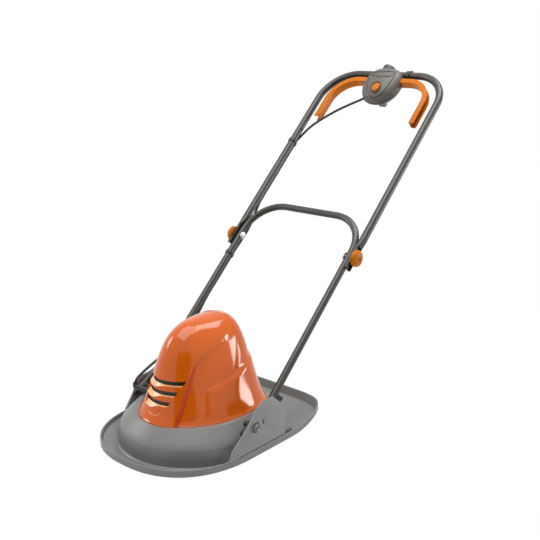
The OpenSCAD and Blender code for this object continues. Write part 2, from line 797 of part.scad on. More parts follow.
module lower_motor_frame() {
    color(steel_c) on_deck() difference() {
        union() {
            rod_z(2 * frame_ring_out, deck_h, deck_h + frame_t);
            rod_z(frame_hub_d, deck_h - frame_hub_low, deck_h - frame_hub_low + frame_hub_h);
            at_pillars() rod_z(pillar_d, deck_h + frame_t - over, stator_z);
        }
        for (a = turns(spoke_count)) rotate([0, 0, a]) intersection() {
            difference() {
                rod_z(2 * frame_ring_in, deck_h - over, deck_h + frame_t + over);
                rod_z(frame_hub_d, deck_h - 2 * over, deck_h + frame_t + 2 * over);
            }
            rotate([0, 0, -90 / spoke_count * 2]) translate([spoke_w / 2, spoke_w / 2, deck_h - over])
                cube([frame_ring_in, frame_ring_in, frame_t + 2 * over]);
        }
        rod_z(bearing_d + slip_fit, deck_h - frame_hub_low - over, deck_h - frame_hub_low + bearing_h);
        rod_z(shaft_d + 2 * over, deck_h, stator_z);
        at_mount_screws() rod_z(screw_d + screw_fit, deck_h - over, deck_h + frame_t + over);
    }
}

module at_pillars() {
    for (side = [-1, 1]) rotate([0, 0, 45]) translate([side * pillar_r, 0, 0]) children();
    for (side = [-1, 1]) rotate([0, 0, -45]) translate([side * pillar_r, 0, 0]) children();
}

module motor_mount_screws() {
    color(steel_c) on_deck() at_mount_screws() {
        rod_z(screw_d, deck_h - hood_wall - over, deck_h + frame_t + over);
        rod_z(screw_head_d, deck_h + frame_t, deck_h + frame_t + screw_head_h);
    }
}

// Sector of a ring about the motor's axis, centred on the direction of an angle
module sector(inner, outer, half, at, h) {
    rotate([0, 0, at - half]) rotate_extrude(angle = 2 * half) translate([inner, 0]) square([outer - inner, h]);
}

module stator_core() {
    color(steel_c) on_deck() translate([0, 0, stator_z]) difference() {
        rod_z(2 * stator_r, 0, stator_h);
        rod_z(2 * (armature_r + air_gap), -over, stator_h + over);
        for (at = [0, 180]) translate([0, 0, -over])
            sector(armature_r, stator_r - stator_yoke, 90 - pole_half, at, stator_h + 2 * over);
        at_through_screws() rod_z(screw_d + screw_fit, -over, stator_h + over);
    }
}

module field_coils() {
    color(copper_c) on_deck() translate([0, 0, stator_z - coil_over]) for (at = [0, 180])
        sector(armature_r + 2 * air_gap, stator_r - stator_yoke - coil_gap, coil_half, at, stator_h + 2 * coil_over);
}

module at_through_screws() {
    for (side = [-1, 1]) translate([0, side * (stator_r - stator_yoke / 2), 0]) children();
}

module upper_motor_frame() {
    top = upper_plate_t + upper_post_h;
    color(grey_c) on_deck() translate([0, 0, upper_plate_z]) difference() {
        union() {
            difference() {
                rod_z(2 * stator_r, 0, upper_plate_t);
                rod_z(2 * (stator_r - stator_yoke), -over, upper_plate_t + over);
            }
            for (side = [-1, 1]) translate([-upper_post_w / 2, side * (stator_r - stator_yoke / 2) - stator_yoke / 2, 0])
                cube([upper_post_w, stator_yoke, top + upper_bridge_t]);
            translate([-upper_post_w / 2, -stator_r + stator_yoke / 2, top])
                cube([upper_post_w, 2 * stator_r - stator_yoke, upper_bridge_t]);
            rod_z(upper_hub_d, top + upper_bridge_t - upper_hub_h, top + upper_bridge_t);
            for (side = [-1, 1]) translate([side * (stator_r - stator_yoke + holder_wall), 0, 0])
                translate([-holder_wall, -brush_w, 0]) cube([2 * holder_wall, 2 * brush_w, comm_z - upper_plate_z + over]);
        }
        rod_z(bearing_d + slip_fit, top + upper_bridge_t - upper_hub_h - over,
            top + upper_bridge_t - upper_hub_h + bearing_h);
        rod_z(shaft_d + 2 * over, top - upper_hub_h, top + upper_bridge_t + over);
        at_through_screws() rod_z(screw_d + screw_fit, -over, upper_plate_t + upper_post_h + upper_bridge_t + over);
    }
}

module motor_screws() {
    top = upper_plate_z + upper_plate_t + upper_post_h + upper_bridge_t;
    color(steel_c) on_deck() at_through_screws() {
        rod_z(screw_d, stator_z, top + over);
        rod_z(screw_head_d, top, top + screw_head_h);
    }
}

module bearing(z) {
    color(steel_c) on_deck() difference() {
        rod_z(bearing_d, z, z + bearing_h);
        rod_z(shaft_d + 2 * run_fit, z - over, z + bearing_h + over);
    }
}
module lower_bearing() { bearing(deck_h - frame_hub_low); }
module upper_bearing() {
    bearing(upper_plate_z + upper_plate_t + upper_post_h + upper_bridge_t - upper_hub_h);
}

module at_brushes() { for (a = [0, 180]) rotate([0, 0, a]) translate([comm_r, 0, comm_z]) children(); }

module brush_holders() {
    out_w = brush_w + 2 * holder_wall;
    out_h = brush_h + 2 * holder_wall;
    color("#d8c890") on_deck() at_brushes() difference() {
        translate([holder_in, -out_w / 2, over]) cube([holder_len, out_w, out_h - over]);
        translate([holder_in - over, -brush_w / 2 - screw_fit, holder_wall - screw_fit])
            cube([holder_len - holder_wall, brush_w + 2 * screw_fit, brush_h + 2 * screw_fit]);
    }
}

module carbon_brushes() {
    color(black_c) on_deck() at_brushes()
        translate([seat_gap, -brush_w / 2, holder_wall]) cube([brush_len, brush_w, brush_h]);
}

module capacitor() {
    color("#c8a030") on_deck() translate([cap_x, cap_y, 0]) rod_z(cap_d, deck_h, deck_h + cap_h);
}

module terminal_block() {
    pitch = block_l / block_ways;
    color("#e6e2d4") on_deck() translate([block_x, block_y, deck_h]) difference() {
        translate([-block_w / 2, -block_l / 2, 0]) cube([block_w, block_l, block_h]);
        for (i = [1:block_ways - 1])
            translate([-block_w, i * pitch - block_l / 2 - block_groove / 2, block_h - block_groove])
            cube([2 * block_w, block_groove, block_groove + over]);
    }
}

// Elbow that carries the cable through the side of the cover
module cable_gland() {
    color(black_c) on_deck() translate([0, gland_y, gland_z]) difference() {
        union() {
            rod_x(gland_d, -gland_out, -gland_in);
            translate([-gland_out, 0, 0]) sphere(d = gland_d);
            translate([-gland_out, 0, 0]) rod_z(gland_d, 0, gland_rise);
        }
        rod_x(cable_d + slip_fit, -gland_out, -gland_in + over);
        translate([-gland_out, 0, 0]) rod_z(cable_d + slip_fit, 0, gland_rise + over);
    }
}

module motor_lead() { color(black_c) on_deck() tube(lead_route); }
module cable_loop() {
    end = [for (u = [loop_end[1] - loop_lead, loop_end[1] - cable_gap])
        [loop_end[0], handle_y + u * cos(handle_angle), handle_z + u * sin(handle_angle)]];
    color(black_c) on_deck() tube(concat(loop_route, end));
}

// Rotor: everything that turns with the shaft

module motor_shaft() {
    low = blade_z + blade_t;
    color(steel_c) on_deck() difference() {
        rod_z(shaft_d, low, shaft_top);
        rod_z(blade_bolt_d + screw_fit, low - over, low + blade_bolt_reach + over);
    }
}

module on_shaft(d, from, to) {
    difference() {
        rod_z(d, from, to);
        rod_z(shaft_d + screw_fit, from - over, to + over);
    }
}

module armature_core() {
    color(steel_c) on_deck() on_shaft(2 * armature_r, stator_z, stator_z + stator_h);
}

module armature_winding() {
    color(copper_c) on_deck() {
        on_shaft(2 * winding_r, stator_z - winding_over, stator_z);
        on_shaft(2 * winding_r, stator_z + stator_h, stator_z + stator_h + winding_over);
    }
}

module commutator() { color(copper_c) on_deck() on_shaft(2 * comm_r, comm_z, comm_z + comm_h); }

module impeller() {
    top = impeller_disc_z + impeller_disc_t;
    color(orange_c) on_deck() difference() {
        union() {
            rod_z(2 * impeller_r, impeller_disc_z, top);
            rod_z(impeller_hub_d, impeller_low, impeller_low + impeller_hub_h);
            for (a = turns(vane_count)) rotate([0, 0, a]) translate([vane_root, 0, top - over]) rotate([0, 0, vane_sweep])
                translate([0, -vane_t / 2, 0]) cube([(impeller_r - vane_root) * cos(vane_sweep), vane_t, vane_h]);
        }
        rod_z(shaft_d + screw_fit, impeller_low - over, impeller_low + impeller_hub_h + over);
    }
}

module blade_spacers() {
    color(black_c) on_deck() for (i = [0:spacer_count - 1])
        on_shaft(spacer_d, blade_z + blade_t + i * spacer_t, blade_z + blade_t + (i + 1) * spacer_t - spacer_gap);
}

module blade() {
    half = sqrt(pow(blade_len / 2, 2) - pow(blade_w / 2, 2));
    side = blade_w / 2;
    color(steel_c) on_deck() translate([0, 0, blade_z]) difference() {
        linear_extrude(blade_t) polygon([[-half, -side], [half * blade_step_share, -side],
            [half, -side * blade_tip_share], [half, side], [-half * blade_step_share, side],
            [-half, side * blade_tip_share]]);
        rod_z(blade_bolt_d + slip_fit, -over, blade_t + over);
    }
}

module blade_washer() {
    color(steel_c) on_deck() difference() {
        rod_z(washer_d, blade_z - washer_t, blade_z);
        rod_z(blade_bolt_d + slip_fit, blade_z - washer_t - over, blade_z + over);
    }
}

module blade_bolt() {
    low = blade_z - washer_t;
    color(steel_c) on_deck() {
        translate([0, 0, low - head_h]) cylinder(d = nut_across / cos(30), h = head_h, $fn = 6);
        rod_z(blade_bolt_d, low - over, blade_z + blade_t + blade_bolt_reach);
    }
}

// Lower handle

module foot_rod(d, from, to) { on_foot(1) rod_z(d, from, to); }

// Centre line of the lower handle, from the foot of one leg to the foot of the other
function leg_line() = concat(
    [[lower_half_w, -tube_past_pivot * cos(kink_drop), pivot_rise + tube_past_pivot * sin(kink_drop)]],
    [for (i = [kink_steps:-1:0]) let (a = kink_drop * i / kink_steps)
        [lower_half_w, kink_u + kink_run - kink_bend * sin(a), kink_bend * (1 - cos(a))]],
    [for (i = [0:bend_steps]) let (a = 90 * i / bend_steps)
        [lower_half_w - lower_bend * (1 - cos(a)), lower_len - lower_bend * (1 - sin(a)), 0]]);
function mirrored(p) = [for (i = [len(p) - 1:-1:0]) [-p[i][0], p[i][1], p[i][2]]];

module lower_handle_tube() {
    color(paint_c) on_handle() difference() {
        pipe(concat(leg_line(), mirrored(leg_line())), lower_d, tube_wall);
        both() translate([0, clamp_u, 0]) rod_x(bolt_d + slip_fit, lower_half_w - lower_d, lower_half_w + lower_d);
        both() translate([0, 0, pivot_rise]) rod_x(bolt_d + 2 * over, lower_half_w - lower_d, lower_half_w + lower_d);
    }
}

module tube_plugs() {
    inside = lower_d - 2 * tube_wall - slip_fit;
    color(black_c) on_handle() both() difference() {
        union() {
            foot_rod(inside, -tube_past_pivot - over, plug_in);
            foot_rod(lower_d, -plug_past_pivot + plug_tip, -tube_past_pivot);
            foot_rod(lower_d - 2 * plug_tip, -plug_past_pivot, -tube_past_pivot);
        }
        translate([0, 0, pivot_rise]) rod_x(bolt_d + 2 * run_fit, lower_half_w - lower_d, lower_half_w + lower_d);
    }
}

module clamp_bolts() {
    color(black_c) on_handle() both() translate([0, clamp_u, 0]) {
        rod_x(bolt_d, clamp_head - over, clamp_end);
        rod_x(bolt_head_d, clamp_head - bolt_head_h + bolt_dome, clamp_head);
        rod_x(bolt_head_d - 2 * bolt_dome, clamp_head - bolt_head_h, clamp_head);
    }
}

// Clip round a leg and the cable that runs under it
module cable_clip(tube_d, drop) {
    rotate([-90, 0, 0]) linear_extrude(clip_w) difference() {
        union() {
            circle(d = tube_d + 2 * clip_t);
            translate([0, drop]) circle(d = cable_d + 2 * clip_t);
            translate([-cable_d / 2 - clip_t, 0]) square([cable_d + 2 * clip_t, drop]);
        }
        circle(d = tube_d + screw_fit);
        translate([0, drop]) circle(d = cable_d + slip_fit);
    }
}

module lower_cable_clip() {
    color(black_c) on_handle() translate([-lower_half_w, lower_clip_u, 0])
        cable_clip(lower_d, -lower_run_n);
}

module cable_lower() { color(black_c) on_handle() tube(lower_route); }
module cable_fold() { color(black_c) on_handle() tube(fold_route); }

// Upper handle

module crimp_slice(at, flat) {
    if (flat) translate([crimp_in, at, -crimp_w / 2]) cube([crimp_depth, crimp_slice, crimp_w]);
    else translate([upper_half_w, 0, 0]) rod_y(upper_d, at, at + crimp_slice);
}

module crimp() {
    low = clamp_u - crimp_down;
    high = clamp_u + crimp_up;
    difference() {
        block([crimp_in, low, -crimp_w / 2], [crimp_in + crimp_depth, high, crimp_w / 2]);
        block([crimp_in + crimp_base, low - over, crimp_flange - crimp_w / 2],
            [crimp_in + crimp_depth + over, high - over, crimp_w / 2 - crimp_flange]);
        translate([0, clamp_u, 0]) rod_x(bolt_d + 2 * run_fit, crimp_in - over, crimp_in + crimp_depth);
    }
    hull() {
        crimp_slice(high - crimp_slice, true);
        crimp_slice(high + crimp_blend, false);
    }
}

module upper_leg_solid(d, from) {
    translate([upper_half_w, 0, 0]) rod_y(d, from, upper_len - upper_bend);
    translate([upper_half_w - upper_bend, upper_len - upper_bend, 0])
        rotate_extrude(angle = 90) translate([upper_bend, 0]) circle(d = d);
    translate([0, upper_len, 0]) rod_x(d, 0, upper_half_w - upper_bend);
}

module upper_handle_tube() {
    start = clamp_u + crimp_up + crimp_blend + crimp_slice;
    color(paint_c) on_handle() both() {
        crimp();
        difference() {
            upper_leg_solid(upper_d, start);
            upper_leg_solid(upper_d - 2 * tube_wall, start);
        }
    }
}

module upper_cable_clip() {
    color(black_c) on_handle() translate([-upper_half_w, upper_clip_u, 0])
        cable_clip(upper_d, -upper_run_n);
}

module cable_upper() { color(black_c) on_handle() tube(upper_route); }

// Switch box

function box_ring(share, inset, n) = [for (a = turns(box_cols))
    let (p = plan(a, box_half_w * share - inset, box_down * share - inset, box_up * share - inset, box_down_power,
        box_up_power)) [p[0], p[1], n]];
function dome_share(share) = pow(1 - pow(share, box_dome_power), 1 / box_dome_power);
// Height share of the box's dome over a point of its outline
function box_height(x, v) = let (k = norm([x / box_half_w, v / (v < 0 ? box_down : box_up)])) dome_share(min(k, 1));

module box_shell(h) {
    steps = [for (i = [0:box_rows]) sin(90 * mix(box_tip_share, 1, i / box_rows))];
    outer = [for (s = steps) box_ring(s, 0, h * dome_share(s))];
    inner = [for (i = [box_rows:-1:0]) let (s = steps[i]) box_ring(s, s * box_wall, (h - box_wall) * dome_share(s))];
    translate([0, box_u, 0]) loft(concat(outer, inner));
}

// Everything that passes through the wall of the box, or leaves it
module box_cuts() {
    translate([0, upper_len, 0]) rod_x(upper_d + 2 * slip_fit, -2 * box_half_w, 2 * box_half_w);
    both() block([lever_pivot_x, lever_u - lever_t / 2 - lever_slot_play, -lever_w / 2 - lever_slot_play],
        [2 * box_half_w, lever_u + lever_t / 2 + lever_sweep, lever_w / 2 + lever_slot_play]);
    translate([inlet_x, 0, inlet_n]) rod_y(inlet_d + slip_fit, upper_len, upper_len + 2 * inlet_len);
    exit = upper_route[len(upper_route) - 1];
    before = upper_route[len(upper_route) - 3];
    translate(exit) rotate([0, 0, atan2(before[1] - exit[1], before[0] - exit[0])])
        rod_x(cable_d + 2 * slip_fit, -cable_d, box_half_w);
}

module at_box_screws() {
    for (p = box_screw_places) translate([p[0], box_u + p[1], 0]) {
        $rise = box_height(p[0], p[1]);
        children();
    }
}

module lock_shape(grow) {
    for (side = [-1, 1]) translate([0, side * lock_half]) circle(r = lock_r + grow);
    square([2 * (lock_r + grow), 2 * lock_half], center = true);
}
module at_lock() { translate([lock_x, lock_u, 0]) children(); }

module switch_box_front() {
    color(box_c) on_handle() difference() {
        union() {
            box_shell(box_front);
            at_box_screws() rod_z(box_post_d, -(box_back - 2 * box_wall) * $rise, box_front * $rise - box_wall);
        }
        box_cuts();
        at_lock() linear_extrude(2 * box_front) lock_shape(lock_play);
        at_box_screws() rod_z(box_screw_d + screw_fit, -box_back, box_screw_reach + over);
    }
}

module switch_box_rear() {
    color(box_c) on_handle() difference() {
        union() {
            mirror([0, 0, 1]) box_shell(box_back);
            both() translate([lever_pivot_x, lever_u, 0])
                rod_z(lever_post_d, -(box_back - box_wall / 2) * box_height(lever_pivot_x, lever_u - box_u), post_top);
            translate([switch_x, switch_u, 0]) for (side = [-1, 1])
                translate([side * switch_l * seat_place_share - seat_w / 2, -seat_w / 2, -box_back + box_wall / 2])
                    cube([seat_w, seat_w, box_back - box_wall / 2 - switch_seat]);
            translate([bump_x - bump_w / 2,
                box_u - box_down * dome_share(bump_x / box_half_w) - bump_t * bump_sink_share, -box_back / 2])
                cube([bump_w, bump_t, box_back / 2]);
        }
        box_cuts();
        at_box_screws() rod_z(box_screw_d + 2 * slip_fit, -2 * box_back, 0);
        at_box_screws() rod_z(box_head_d + 2 * slip_fit, -2 * box_back, -box_back * $rise + box_head_h / 2);
    }
}

module switch_box_screws() {
    color(steel_c) on_handle() at_box_screws() {
        seat = -box_back * $rise + box_head_h / 2;
        rod_z(box_screw_d, seat - over, box_screw_reach);
        rod_z(box_head_d, seat - box_head_h, seat);
    }
}

module start_switch() {
    color(black_c) on_handle() translate([switch_x, switch_u, 0])
        translate([-switch_l / 2, -switch_w / 2, -switch_seat]) cube([switch_l, switch_w, switch_n]);
}

module mains_inlet() {
    low = upper_len + upper_d / 2 + slip_fit;
    color(black_c) on_handle() translate([inlet_x, 0, inlet_n]) difference() {
        rod_y(inlet_d, low, low + inlet_len);
        rod_y(inlet_d - 2 * inlet_wall, low + inlet_len - inlet_depth, low + inlet_len + over);
    }
}

module inlet_pins() {
    low = upper_len + upper_d / 2 + slip_fit + inlet_len - inlet_depth;
    color(steel_c) on_handle() for (side = [-1, 1])
        translate([inlet_x + side * pin_gap / 2, 0, inlet_n]) rod_y(pin_d, low, low + pin_len);
}

module cable_restraint() {
    color(black_c) on_handle() translate([restraint_x, upper_len, 0]) difference() {
        union() {
            rod_x(upper_d + 2 * restraint_t, 0, restraint_w);
            translate([0, upper_d / 2, -hook_t / 2]) cube([restraint_w, hook_h, hook_t]);
        }
        rod_x(upper_d + screw_fit, -over, restraint_w + over);
    }
}

module lock_button() {
    lip_top = (box_front - box_wall) * box_height(abs(lock_x) + lock_r + lock_lip, lock_u - box_u - lock_half - lock_r
        - lock_lip) - lock_lip_gap;
    top = box_front * box_height(lock_x, lock_u - box_u) + lock_proud;
    color(bright_c) on_handle() at_lock() {
        translate([0, 0, top - lock_stem]) linear_extrude(lock_stem - lock_thumb) lock_shape(0);
        translate([0, 0, top - lock_stem]) linear_extrude(lock_stem) lock_shape(-lock_thumb);
        translate([0, 0, min(lip_top, top - lock_thumb) - lock_lip_t - lock_lip])
            linear_extrude(lock_lip_t) lock_shape(lock_lip);
    }
}

// Start levers: a channel open towards the bar, turning on a post inside the box

module channel(l) {
    difference() {
        cube([lever_t, lever_w, l]);
        translate([lever_wall, lever_wall, -over]) cube([lever_t, lever_w - 2 * lever_wall, l + 2 * over]);
    }
}

module lever() {
    low = lever_u - lever_t / 2;
    bend_u = low - lever_bend;
    difference() {
        union() {
            translate([lever_pivot_x, low, -lever_w / 2]) rotate([0, 90, 0]) rotate([0, 0, 90])
                channel(lever_bend_x - lever_pivot_x);
            translate([lever_bend_x, bend_u, 0]) rotate_extrude(angle = 90) difference() {
                translate([lever_bend, -lever_w / 2]) square([lever_t, lever_w]);
                translate([lever_bend + lever_wall, lever_wall - lever_w / 2])
                    square([lever_t, lever_w - 2 * lever_wall]);
            }
            translate([lever_bend_x + lever_bend, bend_u - lever_tail, -lever_w / 2]) rotate([-90, 0, 0])
                mirror([0, 1, 0]) channel(lever_tail);
            translate([lever_pivot_x, lever_u, 0]) rod_z(lever_hub_d, -lever_cheek, lever_cheek);
        }
        translate([lever_pivot_x, lever_u, 0]) rod_z(lever_post_d + 2 * run_fit, -lever_w, lever_w);
    }
}

module lever_left() { color(bright_c) on_handle() lever(); }
module lever_right() { color(bright_c) on_handle() mirror([1, 0, 0]) lever(); }

// Clamp knobs

module knob() {
    boss = crimp_in + crimp_base + knob_gap;
    difference() {
        union() {
            rod_x(knob_boss_d, boss, knob_start + over);
            translate([knob_start, 0, 0]) rotate([0, 90, 0]) rotate_extrude() polygon(concat(
                [[0, 0], [knob_d / 2 - knob_bevel, 0], [knob_d / 2, knob_bevel]],
                [for (p = knob_dome_shares) [p[0] * knob_d / 2, mix(knob_edge, knob_t, p[1])]]));
        }
        for (a = turns(knob_grips)) rotate([a, 0, 0]) translate([0, knob_d / 2 + knob_grip_d / 2 - knob_grip_depth, 0])
            rod_x(knob_grip_d, knob_start - over, knob_start + knob_t + over);
        rod_x(bolt_d + 2 * run_fit, boss - over, clamp_end + knob_gap);
    }
}

module knob_left() { color(bright_c) on_handle() translate([0, clamp_u, 0]) knob(); }
module knob_right() { color(bright_c) on_handle() translate([0, clamp_u, 0]) mirror([1, 0, 0]) knob(); }

hood();
handle_bracket_left();
handle_bracket_right();
bracket_screws();
pivot_bolts();
pivot_nuts();
stop_buffers();
motor_cover();
cover_screws();
vent_screen();
lower_motor_frame();
upper_motor_frame();
stator_core();
field_coils();
lower_bearing();
upper_bearing();
brush_holders();
carbon_brushes();
motor_screws();
motor_mount_screws();
capacitor();
terminal_block();
cable_gland();
motor_lead();
cable_loop();
motor_shaft();
armature_core();
armature_winding();
commutator();
impeller();
blade_spacers();
blade();
blade_washer();
blade_bolt();
lower_handle_tube();
tube_plugs();
clamp_bolts();
lower_cable_clip();
cable_lower();
cable_fold();
upper_handle_tube();
switch_box_front();
switch_box_rear();
switch_box_screws();
start_switch();
mains_inlet();
inlet_pins();
cable_restraint();
upper_cable_clip();
cable_upper();
knob_left();
knob_right();
lever_left();
lever_right();
lock_button();
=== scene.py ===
"""Looks of a hover mower: materials, moulded edges, cables, joint lines, painted shade and highlight lines, light
and camera.
"""

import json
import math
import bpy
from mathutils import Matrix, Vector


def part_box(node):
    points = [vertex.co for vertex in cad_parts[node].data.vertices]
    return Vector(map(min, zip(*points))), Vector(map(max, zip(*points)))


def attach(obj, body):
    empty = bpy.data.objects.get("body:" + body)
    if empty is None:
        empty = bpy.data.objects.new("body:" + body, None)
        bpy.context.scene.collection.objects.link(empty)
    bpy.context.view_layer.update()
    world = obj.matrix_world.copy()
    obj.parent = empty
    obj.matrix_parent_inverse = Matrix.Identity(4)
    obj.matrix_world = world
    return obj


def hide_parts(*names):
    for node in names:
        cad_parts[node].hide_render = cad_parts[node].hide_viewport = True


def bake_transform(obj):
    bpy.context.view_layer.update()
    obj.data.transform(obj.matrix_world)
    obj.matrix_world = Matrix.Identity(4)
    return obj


bl_info = {
    "name": "Hover Mower Dressing",
    "version": (1, 0, 0),
    "blender": (4, 5, 0),
    "location": "View3D > Sidebar > Mower",
    "description": "Dresses the packed hover mower and sets its camera and light",
    "category": "Object",
}

import bmesh
import bpy
from mathutils import Matrix, Vector

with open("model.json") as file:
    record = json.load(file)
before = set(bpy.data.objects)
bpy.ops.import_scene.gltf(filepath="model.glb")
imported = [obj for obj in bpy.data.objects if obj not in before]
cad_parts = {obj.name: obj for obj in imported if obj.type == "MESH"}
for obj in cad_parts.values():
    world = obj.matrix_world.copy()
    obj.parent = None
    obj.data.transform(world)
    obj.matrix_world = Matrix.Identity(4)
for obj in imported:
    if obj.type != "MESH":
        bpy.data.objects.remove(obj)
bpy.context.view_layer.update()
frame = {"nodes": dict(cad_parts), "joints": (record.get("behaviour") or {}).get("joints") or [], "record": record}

MM = 0.001
NODES = frame["nodes"]
BODY_OF = {node: body for body, nodes in frame["record"]["behaviour"]["bodies"].items() for node in nodes}
JOINTS = {joint["name"]: joint for joint in frame["joints"]}

# Camera of the photograph, in metres, and its soft lamps: place, size and watts
CAMERA_PLACE = (1.2150, -1.4422, 0.8354)
CAMERA_LOOK = Vector((-0.6273, 0.7308, -0.2693))
CAMERA_LENS = 56.67
LAMP_AIM = Vector((0, 0, 0.3))
LAMPS = (
    ("Softbox_Top", (0.0, -0.5, 2.7), 2.2, 62),
    ("Softbox_Back", (0.35, 0.95, 2.4), 1.1, 26),
    ("Softbox_Left", (-2.6, -1.5, 1.6), 1.0, 26),
    ("Softbox_Right", (2.1, 2.05, 0.62), 0.75, 24),
)
FLOOR_HALF = 30
FLOOR_GLOW = 0.97
FLOOR_FADE = (0.7, 2.5)
WORLD_LIGHT = 0.36

# Sizes below are in millimetres, angles in degrees and shares of the whole, unless a line says otherwise

# The blade's axis and the handle's foot, in metres, and the handle's slope place everything
BLADE_Y = -0.281801
HANDLE_ANGLE = math.radians(43.7)
HANDLE_FOOT = Vector((0, BLADE_Y + 0.018436, 0.056987))

# The hood's outline, as in the part
HOOD_HALF = 176
HOOD_FRONT = 193
HOOD_REAR = 267
HOOD_FRONT_POWER = 2.37
HOOD_REAR_POWER = 6
RIM_Z = 18
TAIL_LIFT = 18
TAIL_START = 0.5
TAIL_SPAN = 0.45
RIM_POINTS = 240

# The brackets' pivot marks, painted as shade of a recess and a slot, and screws
PIVOT_FACE = 176.9
PIVOT_RING_R = 10.4
PIVOT_RING_WAVES = 5
PIVOT_SLOT = ((-4.5, -3), (0, 0), (4.5, 3))
BRACKET_SCREW_YS = (-30, 25, 75)
SCREW_HEAD_R = 4
SCREW_HEAD_H = 3
SCREW_SHANK_R = 2
SCREW_SHANK = 9.5

# The cover's form, as in the part
COVER_LOW = 70
COVER_H = 191
COVER_APEX = 64
COVER_MID = 36
COVER_FRONT = 120
COVER_REAR = 158
COVER_HALF = 119
COVER_FRONT_POWER = 4.1
COVER_REAR_POWER = 3.2
COVER_SIDE_POWER = 2.4
COVER_PLAN_POWER = 2.8
COVER_WALL = 2.5
COVER_LIP = 14
COVER_COLUMNS = 180
COVER_ROWS = 52
CROWN_FADE = 0.3
PANEL_REACH = 30
PANEL_GROWTH = 26
PANEL_SPREAD = 60
PANEL_SPREAD_START = 0.55
PANEL_OUT = 3
PANEL_STEP = 5
# Width in degrees and taper of the painted shade strip on the panel's step
PANEL_SHADE_WIDTH = 4.3
PANEL_SHADE_TAPER = (0.46, 0.22)
SKIRT_SHARE = 0.42
SKIRT_SLOPE = 0.0021
SKIRT_STEP = 0.035
SKIRT_START = -37
SKIRT_FADE = 9

# The cover's vents with their sills, and the cable's entry
VENT_ROWS = 3
VENT_Z = 36
VENT_PITCH = 20
VENT_W = 66
VENT_GROWTH = 17
VENT_LEAN = 5
VENT_H = 9
VENT_REACH = (-200, -20)
SILL_START = 9
SILL_END = 1.2
SILL_TAPER = (0.3, 0.45)
SILL_STEPS = 40
ENTRY_X = (-130, -80)
ENTRY_Y = -30
ENTRY_Z = 80
ENTRY_R = 7.2

# Painted lines on the cover, as angles and shares of the height: a highlight line below the lowest vent, and shade
# lines along a side crease and the skirt's step
BROW_HIGHLIGHT = ((262, 0.1), (268, 0.085), (274, 0.085), (280, 0.115))
CREASE_START = (308, 0.068)
CREASE_RISE = 0.0038
CREASE_SPAN = 25
SKIRT_LINE_START = -34
SKIRT_LINE_SPAN = 125
LINE_SINK = 0.3

# The switch box's form, as in the part, and the lines on its face
BOX_U = 937
BOX_HALF = 52
BOX_UP = 50
BOX_DOWN = 60
BOX_FRONT = 30
BOX_UP_POWER = 2.6
BOX_DOWN_POWER = 2.2
BOX_DOME_POWER = 2.5
INLET_X = -14
COLLAR_U = 989
COLLAR_N = -5
COLLAR_REACH = 20
COLLAR_START = -110
COLLAR_SPAN = 130
BUTTON_X = 4
BUTTON_V = -29
BEZEL_R = 12.6
BEZEL_STRETCH = 3
RECESS_LINE = (
    (-26, 9), (-30, 14), (-29, 20), (-15, 21), (0, 22), (14, 24), (27, 26), (32, 22), (30, 11),
    (20, 7), (8, 4), (-10, 6), (-26, 9),
)
FACE_LINE = (
    (-41, 24), (-33, 0), (-28, -20), (-20, -36), (-9, -49), (3, -54), (15, -51), (25, -41),
    (33, -20), (36, 8), (33, 31),
)

# Gap that counts as one point and depth of the moulded grain, in metres, and width of the uneven patches
MERGE = 2e-6
GRAIN_DEPTH = 0.0003
PATCH_MM = 60

# Cable routes: the first two in the mower's axes, the others along the handle
LEAD_ROUTE = [(-92, -30, 80), (-88.5, -28, 80), (-87.5, -22, 79.5), (-88.5, -14, 79), (-89.5, -6, 78.5)]
LOOP_ROUTE = [
    (-147, -30, 89), (-147, -29, 93), (-148, -23, 98), (-149, -10, 104), (-150, 10, 111.5), (-150, 30, 119),
    (-150.5, 54, 126), (-151.5, 76, 130), (-151.7, 90, 131),
]
LOOP_END = [(-151.7, 115, 0), (-151.7, 124.7, 0)]
LOWER_ROUTE = [
    (-151.7, 125, 0), (-151.7, 140, -1), (-154, 175, -7), (-159, 215, -10.8),
    (-163, 260, -11.3), (-163, 320, -11.3), (-163, 385, -11.3),
]
FOLD_ROUTE = [
    (-163, 385, -11.3), (-163, 400, -11.6), (-163, 425, -13), (-164, 452, -15),
    (-167, 482, -16), (-172, 512, -14.5), (-176, 542, -12.6), (-176.4, 556.7, -12.3),
]
UPPER_ROUTE = [
    (-176.4, 557, -12.3), (-176.4, 619.5, -12.3), (-176.4, 683.8, -12.3), (-176.4, 743.3, -12.3),
    (-173.5, 755.4, -12), (-166, 767.6, -9), (-156, 781.2, -5), (-144, 794.9, -1.5), (-126, 815.4, 0),
    (-98, 844.9, 0), (-68, 869.2, 0), (-44, 886.7, 0), (-32, 895, 0),
]


def linear(code):
    """Linear colour of an sRGB hex code."""
    shares = [int(code[i:i + 2], 16) / 255 for i in (1, 3, 5)]
    return tuple(s / 12.92 if s <= 0.04045 else ((s + 0.055) / 1.055) ** 2.4 for s in shares)


def smooth(share):
    """Eased step from 0 to 1."""
    s = min(1, max(0, share))
    return s * s * (3 - 2 * s)


def deck_point(x, y, z):
    """Point in the mower's own axes, in millimetres from the blade's axis, to the frame."""
    return Vector((x * MM, BLADE_Y + y * MM, z * MM))


def handle_point(x, u, n):
    """Point across, along and out of the handle's plane, in millimetres, to the frame."""
    turned = Matrix.Rotation(HANDLE_ANGLE, 3, "X") @ Vector((x, u, n))
    return HANDLE_FOOT + turned * MM


def turns(count):
    """Angles of a full turn in even steps."""
    return [2 * math.pi * i / count for i in range(count)]


def superellipse(c, s, power):
    """Reach of a superellipse of unit size in one direction."""
    return (abs(c) ** power + abs(s) ** power) ** (-1 / power)


def panel_reach(share):
    """Half angle of the cover's front panel at a share of the height."""
    spread = PANEL_SPREAD * smooth((share - PANEL_SPREAD_START) / (1 - PANEL_SPREAD_START))
    return min(90, PANEL_REACH + PANEL_GROWTH * share + spread)


